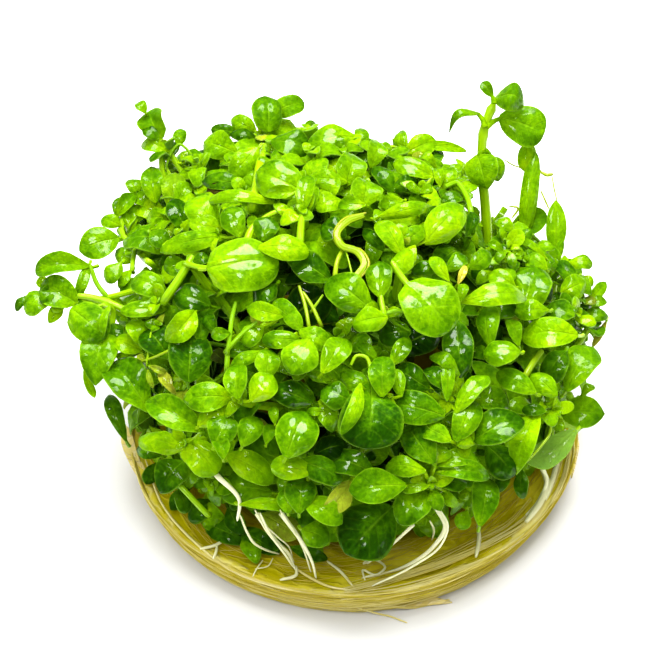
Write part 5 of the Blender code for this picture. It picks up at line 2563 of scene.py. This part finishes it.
        blade = Blade(
            base, tip, facing, seen.width * size / seen_share,
            arch=seen.arch * chance.uniform(0.8, 1.7),
            cup=seen.cup * min(seen.width / 20.0, 1.0) + chance.uniform(-0.35, 0.35) * math.sqrt(flexible),
            fold=seen.fold + chance.uniform(-0.1, 0.3) * flexible,
            curl=seen.curl + chance.choice((0.0, 0.1, 0.3, 0.6, 0.9)) * flexible,
            ripple=chance.uniform(0.05, 0.17), twist=chance.uniform(-0.35, 0.35),
            phase=chance.uniform(0.0, math.tau), belly=seen.belly * chance.uniform(0.88, 1.12),
            wedge=seen.wedge * chance.uniform(0.85, 1.15), point=seen.point * chance.uniform(0.8, 1.2),
            wobble=min(0.9 / seen.width, 0.045), dent=min(0.5 / seen.width, 0.025),
        )
        # Painted light: a leaf gets a lighter tone where the dome's skin turns away from the camera, towards
        # the outline.
        turned = max(DOME.outward(base).dot(toward), 0.0)
        tone = seen.tone.value + 0.07 * (1.0 - turned) + chance.uniform(-0.03, 0.03)
        self.leaves[shoot.name].leaf(blade, Marks(tone=tone, age=seen.age, wet=seen.wet), kind.grain)
        root = heart
        if (heart - base).length >= self.stalk_reach:
            root = base - toward * self.stalk_root - (tip - base) * 0.12
        end = base + (tip - base) * 0.04
        self.stalk(shoot, root, end, self.seen_stalk, min(seen.tone.value + 0.15, 1.0))

    def add_seen(self) -> None:
        """Adds every sprig that the photograph shows."""
        for sprig in SEEN_SPRIGS:
            side = self.by_name[sprig.shoot] if sprig.shoot else None
            heart = self.seen_place(sprig.heart, sprig.out - self.seen_heart_sink_mm, side)
            shoot = side or self.nearest(heart)
            axis = (DOME.outward(heart) + VIEW.toward() * 0.5 + UP * 0.3).normalized()
            self.twig(shoot, heart, axis, self.seen_twig, 0.8)
            if sprig.buds:
                self.grow(Sprig(shoot, heart, axis, 0.8, 0.95, 0.6), BUD_TIERS)
            for seen in sprig.leaves:
                self.seen_leaf(seen, sprig, shoot, side, heart)

    def add_stalks(self) -> None:
        """Adds every stem and thread that the photograph shows."""
        for stalk in SEEN_STALKS:
            side = self.by_name[stalk.shoot] if stalk.shoot else None
            points = [self.seen_place(pixel, stalk.out, side) for pixel in stalk.route]
            thick = stalk.width / 2 * VIEW.pixel_size(VIEW.depth_of(points[0]))
            shoot = side or self.nearest(points[0])
            points.append(points[-1] - VIEW.toward() * self.stalk_tuck + (points[-1] - points[-2]) * 0.15)
            steps = 5 * (len(points) - 1)
            self.twigs[shoot.name].tube(
                Tube(SmoothPath(points).even(steps), taper(thick, 0.7), stalk.flat),
                Marks(tone=stalk.tone.value, age=stalk.age, wet=0.6),
                sides=8,
            )

    def add_grown(self) -> None:
        """Fills the rest of the dome: an outer layer, thinner where the photograph shows, and a deep one."""
        for count, deep in ((self.outer_sprigs, 0.0), (self.inner_sprigs, 1.0)):
            for index in range(count):
                way = golden_direction(index, count, 1.0 - math.cos(self.lowest), deep * 1.3)
                skin = DOME.skin(way)
                outward = DOME.outward(skin)
                front = outward.dot(VIEW.toward())
                shown = min(max(front * 2.2 + 0.55, 0.0), 1.0)
                if front > self.bare_front and self.chance.random() < self.gaps:
                    continue
                sink = self.surface_sink + shown * self.shown_sink + deep * self.deep_sink
                heart = skin - outward * (sink + self.chance.uniform(-1.0, 1.2) * MM)
                heart.z = max(heart.z, self.clear_height + 2.0 * MM)
                shoot = self.nearest(heart)
                axis = (outward + UP * 0.45).normalized()
                scale = self.chance.uniform(0.85, 1.15) - 0.08 * shown
                # Painted shade and light: grown leaves are darker where the dome faces the camera and in the
                # deep layer, under the outer leaves, and lighter at the outline; their twigs are darker in
                # the deep layer.
                tone = 1.0 - 0.34 * shown - 0.36 * deep + self.chance.uniform(-0.14, 0.14)
                self.twig(shoot, heart, axis, self.grown_twig, 0.7 - 0.3 * deep)
                self.grow(Sprig(shoot, heart, axis, scale, tone, 0.45 - 0.2 * deep))

    def add_hearts(self) -> None:
        """Adds the sprigs whose hearts are given by pixel, behind and between the seen leaves."""
        for hearts, size in ((BACKING_HEARTS, 1.0), (FINE_HEARTS, FINE_SCALE)):
            for pixel, out in hearts:
                depth = DOME.depth_behind(pixel, VIEW) - (out - self.given_heart_sink_mm * size) * MM
                heart = self.raised(VIEW.at_depth(pixel, depth))
                axis = (DOME.outward(heart) + UP * 0.6 + VIEW.toward() * 0.3).normalized()
                shoot = self.nearest(heart)
                scale = size * self.chance.uniform(0.85, 1.1)
                self.twig(shoot, heart, axis, self.grown_twig * size, 0.6)
                self.grow(Sprig(shoot, heart, axis, scale, self.chance.uniform(0.5, 0.88), 0.6))

    def add_side_ends(self) -> None:
        """Adds a sprig at the end of each side shoot."""
        for shoot in SIDE_SHOOTS:
            way = shoot.path().slope(len(shoot.route) - 1)
            heart = shoot.head() - way * 2.0 * MM
            self.grow(Sprig(shoot, heart, (way + UP * 0.3).normalized(), 0.7, 0.55))

    def add_crown(self) -> None:
        """Fills the crown behind the seen leaves, so that it is as dense from behind as from the front."""
        for index in range(self.crown_sprigs):
            skin = DOME.skin(golden_direction(index, self.crown_sprigs, self.crown_depth, self.crown_turn))
            outward = DOME.outward(skin)
            heart = skin + outward * (self.chance.uniform(-2.5, 4.0) * MM) - VIEW.toward() * self.crown_sink
            across, down = VIEW.pixel_of(heart)
            edge = self.crown_edge_px + self.crown_slope * max(self.crown_edge_px - across, 0.0)
            if down > edge or outward.dot(VIEW.toward()) < self.crown_back:
                continue
            if in_window(heart) or not SILHOUETTE.holds(heart + outward * self.crown_room):
                continue
            axis = (outward + UP * 0.35).normalized()
            shoot = self.nearest(heart)
            self.twig(shoot, heart, axis, self.crown_twig, 0.7)
            scale = self.chance.uniform(0.62, 0.9)
            self.grow(Sprig(shoot, heart, axis, scale, self.chance.uniform(0.66, 0.98), 0.45))

    def build(self) -> None:
        """Makes every leaf and twig and ties them to the frame."""
        self.add_seen()
        self.add_stalks()
        self.add_grown()
        self.add_hearts()
        self.add_side_ends()
        self.add_crown()
        for shoot in self.shoots:
            self.leaves[shoot.name].finish(self.finishes.leaf, "leaf", [f"{shoot.name}_leaves"])
            self.twigs[shoot.name].finish(self.finishes.stem, "stem")


@dataclass(frozen=True)
class Stems:
    """The main stems, which go on up into their heads, with a swelling at each leaf joint."""

    finishes: Finishes
    joint_gap: float = 5.0 * MM
    joint_swell: float = 0.18
    ring_gap: float = 1.2 * MM
    fewest_rings: int = 12

    def jointed(self, thick: float, length: float) -> Callable[[float], float]:
        """Makes a stem's radius, with its swellings.

        Args:
            thick: The radius at its foot.
            length: The stem's length.

        Returns:
            The radius at a share of the length.
        """

        def radius(share: float) -> float:
            """Gives the radius at a share of the length."""
            run = share * length / self.joint_gap
            swell = self.joint_swell * max(math.cos(math.tau * run), 0.0) ** 6
            return thick * (1.0 - 0.3 * share) * (1.0 + swell) * (0.5 if share > AT_END else 1.0)

        return radius

    def build(self) -> None:
        """Makes every main stem."""
        for shoot in ShootRule().all() + list(SIDE_SHOOTS) + [TALL_SHOOT, UPRIGHT_SHOOT]:
            path = shoot.path()
            steps = max(self.fewest_rings, round(path.length / self.ring_gap))
            piece = Piece(f"{shoot.name}_main_stem")
            # Painted light: the tall and the upright stems get a brighter tone than the others, against the
            # shade on their lower parts.
            tone = 1.0 if shoot in (TALL_SHOOT, UPRIGHT_SHOOT) else 0.85
            tube = Tube(path.even(steps), self.jointed(shoot.radius, path.length))
            piece.tube(tube, Marks(tone=tone, wet=0.6), sides=10)
            piece.finish(self.finishes.stem, "stem", [f"{shoot.name}_stem"])


@dataclass(frozen=True)
class SingleLeaf:
    """A leaf of the bare shoots: its node, a place at its depth, and its joint, ends and width in pixels."""

    node: str
    near: Vector
    joint: Pixel
    base: Pixel
    tip: Pixel
    width: float
    facing: Triple = (0.0, -0.7, 0.7)
    arch: float = 0.1
    cup: float = -0.2
    fold: float = 0.0
    belly: float = 0.5
    wedge: float = 0.8
    point: float = 0.7
    tone: Tone = Tone.MID

    def blade(self) -> Blade:
        """Gives the bent leaf.

        Returns:
            The leaf, as deep in the picture as the place near it.
        """
        depth = VIEW.depth_of(self.near)
        width = self.width * VIEW.pixel_size(depth)
        return Blade(
            VIEW.at_depth(self.base, depth), VIEW.at_depth(self.tip, depth), Vector(self.facing).normalized(),
            width, arch=self.arch, cup=self.cup, fold=self.fold, ripple=0.04, phase=self.base[0],
            belly=self.belly, wedge=self.wedge, point=self.point,
        )

    def petiole(self) -> Tube:
        """Gives the stalk between the stem and the blade.

        Returns:
            The stalk, which runs on a little way into the blade.
        """
        depth = VIEW.depth_of(self.near)
        joint = VIEW.at_depth(self.joint, depth)
        base = VIEW.at_depth(self.base, depth)
        chord = VIEW.at_depth(self.tip, depth) - base
        route = SmoothPath([joint, joint.lerp(base, 0.6), base + chord * 0.06])
        return Tube(route.even(6), lambda share: (0.55 - 0.2 * share) * MM)


SINGLE_LEAVES = (
    SingleLeaf(
        "tall_leaf_tip_right", at_mm(27.5, 28.0, 60.5), (494, 104), (495, 98), (524, 105), 30,
        (0.1, -0.55, 0.9), arch=0.72, cup=-0.5, point=0.7,
    ),
    SingleLeaf(
        "tall_leaf_tip_left", at_mm(23.0, 28.5, 62.0), (494, 103), (493, 97), (482, 82), 12,
        arch=0.1, fold=0.4, belly=0.7, point=0.6,
    ),
    SingleLeaf(
        "tall_leaf_upper_right", at_mm(29.0, 25.3, 55.0), (487, 127), (499, 117), (545, 132), 42,
        (0.25, -0.7, 0.7), arch=0.08, cup=-0.2, belly=0.62, wedge=0.7, point=0.4,
    ),
    SingleLeaf(
        "tall_leaf_upper_left", at_mm(19.0, 25.5, 56.0), (485, 127), (480, 113), (449, 132), 10,
        (-0.1, -0.3, 1.0), arch=0.62, cup=-0.4, belly=0.4, point=0.9,
    ),
    SingleLeaf(
        "tall_leaf_lower_left", at_mm(20.7, 21.0, 49.2), (484, 150), (478, 154), (488, 189), 35,
        (-0.2, -0.8, 0.5), arch=0.15, cup=-0.2, belly=0.33, wedge=0.5, point=0.9, tone=Tone.LIME,
    ),
    SingleLeaf(
        "tall_leaf_lower_right", at_mm(25.2, 22.0, 48.8), (485, 150), (491, 156), (499, 181), 21,
        (0.5, -0.8, 0.5), arch=0.2, cup=-0.3, belly=0.4, wedge=0.55, point=0.7, tone=Tone.LIME,
    ),
    SingleLeaf(
        "curled_leaf", at_mm(30.0, 20.0, 45.0), (504, 240), (508, 234), (546, 213), 26,
        (-0.2, -0.8, 0.6), arch=-0.05, cup=0.3, belly=0.6, wedge=0.9, point=0.5, tone=Tone.MID,
    ),
    SingleLeaf(
        "upright_leaf", at_mm(35.6, 16.0, 41.0), (552, 268), (556, 257), (556, 200), 21,
        (0.0, -1.0, 0.2), arch=0.04, cup=-0.3, point=0.8, tone=Tone.LIME,
    ),
)


@dataclass(frozen=True)
class ExtraBlade:
    """A fold of a single leaf that shows as a blade of its own."""

    node: str
    base: Pixel
    tip: Pixel
    width: float
    cup: float
    tone: Tone


EXTRA_BLADES = (
    ExtraBlade("curled_leaf", (524, 236), (535, 152), 18, -0.7, Tone.LIME),
    ExtraBlade("curled_leaf", (526, 172), (529, 143), 19, -0.9, Tone.BRIGHT),
    ExtraBlade("upright_leaf", (556, 261), (562, 240), 9, -0.6, Tone.LIME),
)

# Threads beside a single leaf: its node, their route and their width in pixels
BARE_THREADS = (
    ("curled_leaf", ((522, 168), (513, 165), (505, 160)), 1.5),
    ("curled_leaf", ((541, 172), (547, 175), (553, 174)), 4.0),
    ("curled_leaf", ((541, 170), (537, 182), (534, 200), (528, 222), (519, 234)), 2.5),
    ("curled_leaf", ((552, 176), (554, 188), (557, 201)), 1.5),
    ("curled_leaf", ((541, 191), (545, 200), (549, 209)), 2.0),
    ("curled_leaf", ((512, 218), (518, 208), (509, 206)), 2.5),
)


@dataclass(frozen=True)
class BareShoots:
    """The single leaves of the tall shoot and of the upright shoot."""

    finishes: Finishes
    fold_lift: float = 0.6 * MM
    thread_lift: float = 0.3 * MM

    def build(self) -> None:
        """Makes every single leaf."""
        for leaf in SINGLE_LEAVES:
            piece = Piece(f"{leaf.node}_blade")
            depth = VIEW.depth_of(leaf.near)
            piece.leaf(leaf.blade(), Marks(tone=leaf.tone.value, wet=0.6), Stock.fine_leaf)
            piece.tube(leaf.petiole(), Marks(tone=Tone.BRIGHT.value, wet=0.3), sides=8)
            for extra in EXTRA_BLADES:
                if extra.node == leaf.node:
                    near = depth - self.fold_lift
                    blade = Blade(
                        VIEW.at_depth(extra.base, near), VIEW.at_depth(extra.tip, near), VIEW.toward(),
                        extra.width * VIEW.pixel_size(near), cup=extra.cup, ripple=0.03, belly=0.5, wedge=0.4,
                        point=0.45,
                    )
                    piece.leaf(blade, Marks(tone=extra.tone.value, wet=0.6), Stock.fine_leaf)
            for node, route, width in BARE_THREADS:
                if node == leaf.node:
                    points = [VIEW.at_depth(pixel, depth - self.thread_lift) for pixel in route]
                    thick = width / 2 * VIEW.pixel_size(depth)
                    thread = Tube(SmoothPath(points).even(10), taper(thick, 0.6))
                    piece.tube(thread, Marks(tone=0.9, age=0.5, wet=0.3))
            piece.finish(self.finishes.leaf, "leaf", [leaf.node])


# Roots


@dataclass(frozen=True)
class LooseRoot:
    """A loose root in the frame: the node that it stands for, its route and its radius."""

    node: str
    route: tuple[Vector, ...]
    radius: float


LOOSE_ROOTS = (
    LooseRoot(
        "root_front_middle",
        (
            at_mm(-12.2, -34.5, 22.0), at_mm(-8.8, -35.9, 16.6), at_mm(-6.9, -36.2, 11.5),
            at_mm(-6.3, -36.4, 7.9),
        ),
        0.55 * MM,
    ),
    LooseRoot(
        "root_front_left",
        (
            at_mm(-16.3, -33.3, 20.5), at_mm(-13.8, -33.6, 15.6), at_mm(-10.6, -33.4, 9.6),
            at_mm(-9.8, -34.6, 7.9),
        ),
        0.5 * MM,
    ),
    LooseRoot(
        "root_left_thick",
        (
            at_mm(-25.5, -26.0, 27.5), at_mm(-23.2, -29.6, 26.4), at_mm(-19.2, -33.0, 23.4),
            at_mm(-19.6, -34.6, 20.2),
        ),
        0.75 * MM,
    ),
    LooseRoot(
        "root_right_arc",
        (
            at_mm(14.1, -33.4, 22.1), at_mm(15.6, -34.2, 19.0), at_mm(13.9, -34.3, 14.0),
            at_mm(8.1, -34.2, 8.1), at_mm(1.5, -36.3, 7.9),
        ),
        0.6 * MM,
    ),
    LooseRoot(
        "root_right_thin",
        (at_mm(10.2, -34.6, 19.3), at_mm(6.3, -35.2, 14.7), at_mm(2.4, -34.4, 9.4)),
        0.4 * MM,
    ),
    LooseRoot(
        "root_right_end",
        (at_mm(32.8, -13.2, 12.5), at_mm(34.0, -14.6, 9.6), at_mm(32.6, -17.6, 7.9), at_mm(30.0, -21.6, 7.9)),
        0.55 * MM,
    ),
)

# Roots that lie on the pad: their route and their width in pixels
PAD_ROOTS = (
    (((228, 537), (216, 545), (200, 549)), 3.5),
    (((217, 545), (216, 552), (213, 559)), 3.0),
    (((296, 566), (296, 575), (280, 580)), 3.5),
    (((363, 564), (375, 560), (385, 567), (375, 575), (363, 570), (365, 580)), 2.5),
    (((478, 524), (479, 540), (476, 557)), 4.5),
    (((327, 561), (341, 572), (352, 585)), 3.0),
    (((541, 467), (547, 482), (541, 501), (526, 522)), 7.0),
    (((565, 430), (560, 450), (553, 478), (545, 500)), 6.0),
    (((493, 470), (495, 486), (492, 500)), 4.0),
    (((263, 560), (256, 570), (252, 578)), 1.5),
    (((273, 558), (268, 566), (255, 569)), 1.5),
)


@dataclass(frozen=True)
class FineRoot:
    """A thin root down to the pad: its route and width in pixels, and how far out of the dome it starts."""

    route: tuple[Pixel, ...]
    width: float
    out: float

    def points(self, pad: PadShape) -> Route:
        """Gives its route in the frame, which seen from the side runs straight down to the pad.

        Args:
            pad: The pad's sizes.

        Returns:
            The places of its route.
        """
        first = DOME.depth_behind(self.route[0], VIEW) - self.out * MM
        last = VIEW.depth_of(pad.on_pad(self.route[-1], 0.3 * MM))
        steps = len(self.route) - 1
        return [
            VIEW.at_depth(pixel, first + (last - first) * index / steps)
            for index, pixel in enumerate(self.route)
        ]


FINE_ROOTS = (
    FineRoot(((240, 515), (247, 532), (254, 543), (266, 550), (279, 554)), 2.6, 0.0),
    FineRoot(((255, 510), (266, 530), (275, 541), (288, 552), (294, 562)), 2.4, 0.0),
    FineRoot(((260, 513), (270, 534), (284, 553), (294, 568)), 2.6, 0.5),
    FineRoot(((266, 526), (279, 538), (289, 547), (293, 560)), 1.6, 0.0),
    FineRoot(((430, 521), (434, 530), (432, 540)), 2.2, -1.0),
    FineRoot(((441, 511), (448, 525), (441, 545), (413, 566), (372, 586)), 2.4, -1.5),
    FineRoot(((410, 527), (392, 544), (378, 553), (363, 563)), 2.0, -1.0),
    FineRoot(((280, 510), (293, 530), (303, 548), (311, 572)), 2.0, 0.5),
)


@dataclass(frozen=True)
class LooseRoots:
    """The loose roots of the frame, and thinner ones that lie on the pad."""

    finishes: Finishes
    pad: PadShape = PAD
    slimness: float = 0.8
    rings: int = 28

    def build(self) -> None:
        """Makes every loose root."""
        for root in LOOSE_ROOTS:
            piece = Piece(f"{root.node}_skin")
            route = SmoothPath(root.route).even(self.rings)
            tube = Tube(route, pointed(root.radius * self.slimness, 0.4))
            piece.tube(tube, Marks(tone=0.95, wet=0.7), sides=10)
            piece.finish(self.finishes.root, "root", [root.node])
        piece = Piece("pad_roots")
        for fine in FINE_ROOTS:
            points = fine.points(self.pad)
            thick = fine.width / 2 * VIEW.pixel_size(VIEW.distance)
            thread = Tube(SmoothPath(points).even(6 * (len(points) - 1)), taper(thick, 0.5))
            piece.tube(thread, Marks(tone=0.9, wet=0.6))
        for route, width in PAD_ROOTS:
            thick = width / 2 * VIEW.pixel_size(VIEW.distance)
            points = [self.pad.on_pad(pixel, thick * 0.7) for pixel in route]
            piece.tube(
                Tube(SmoothPath(points).even(6 * (len(points) - 1)), taper(thick, 0.5)),
                Marks(tone=0.75, wet=0.6), sides=8,
            )
        piece.finish(self.finishes.root, "root")


# The studio


@dataclass(frozen=True)
class Studio:
    """A pale floor, a bright room and two soft lights."""

    floor_size: float = 6.0
    walls: float = 0.56
    ceiling: float = 1.36
    key_place: Triple = (0.03, 0.2, 0.95)
    key_size: float = 0.84
    key_power: float = 19.0
    fill_place: Triple = (-0.25, -0.55, 0.85)
    fill_size: float = 0.3
    fill_power: float = 3.0

    def light(self, name: str, place: Triple, size: float, power: float) -> bpy.types.Object:
        """Adds a round soft light that shines on the dome.

        Args:
            name: The light's name.
            place: Where it stands.
            size: Its width.
            power: Its power in watts.

        Returns:
            The light.
        """
        data = bpy.data.lights.new(name, "AREA")
        data.shape = "DISK"
        data.size = size
        data.energy = power
        lamp = add_object(name, data)
        lamp.location = place
        aim = Vector(place) - Vector(VIEW.aim)
        lamp.rotation_euler = aim.to_track_quat("Z", "Y").to_euler()
        return lamp

    def make_room(self) -> bpy.types.World:
        """Makes the white room, whose ceiling is brighter than its walls, and which gloss doesn't mirror.

        Returns:
            The room.
        """
        graph = Graph(bpy.data.worlds.new("room"))
        around = graph.wire("ShaderNodeTexCoord", "Generated")
        way = graph.add("ShaderNodeSeparateXYZ", None, {"Vector": around})
        rise = Wire(graph, way.outputs["Z"]).ramp(0.0, 0.95)
        strength = self.walls + rise * (self.ceiling - self.walls)
        light = graph.add("ShaderNodeBackground", None, {"Color": (1.0, 1.0, 1.0), "Strength": strength})
        room = graph.finish(light, "ShaderNodeOutputWorld")
        room.cycles_visibility.glossy = False
        return room

    def build(self, material: bpy.types.Material) -> None:
        """Makes the floor, the lights and the room.

        Args:
            material: The floor's finish.
        """
        shape = bmesh.new()
        bmesh.ops.create_grid(shape, x_segments=1, y_segments=1, size=self.floor_size / 2)
        mesh = to_mesh("floor", shape)
        mesh.materials.append(material)
        add_object("floor", mesh)
        self.light("key_light", self.key_place, self.key_size, self.key_power)
        self.light("fill_light", self.fill_place, self.fill_size, self.fill_power)
        bpy.context.scene.world = self.make_room()
        bpy.context.scene.view_settings.view_transform = "Standard"
        bpy.context.scene.view_settings.look = "Medium High Contrast"


def main() -> None:
    """Builds the plant and its studio."""
    logging.basicConfig(level=logging.INFO, format="%(message)s")
    VIEW.build()
    finishes = Finishes()
    JellyPad().build(finishes.jelly)
    mat = RootMat()
    mat.film(finishes.film)
    mat.strands(finishes.strand)
    mat.frays(finishes.fray)
    Stems(finishes).build()
    LeafyHeads(finishes).build()
    BareShoots(finishes).build()
    LooseRoots(finishes).build()
    Studio().build(finishes.floor)


if __name__ == "__main__":
    main()
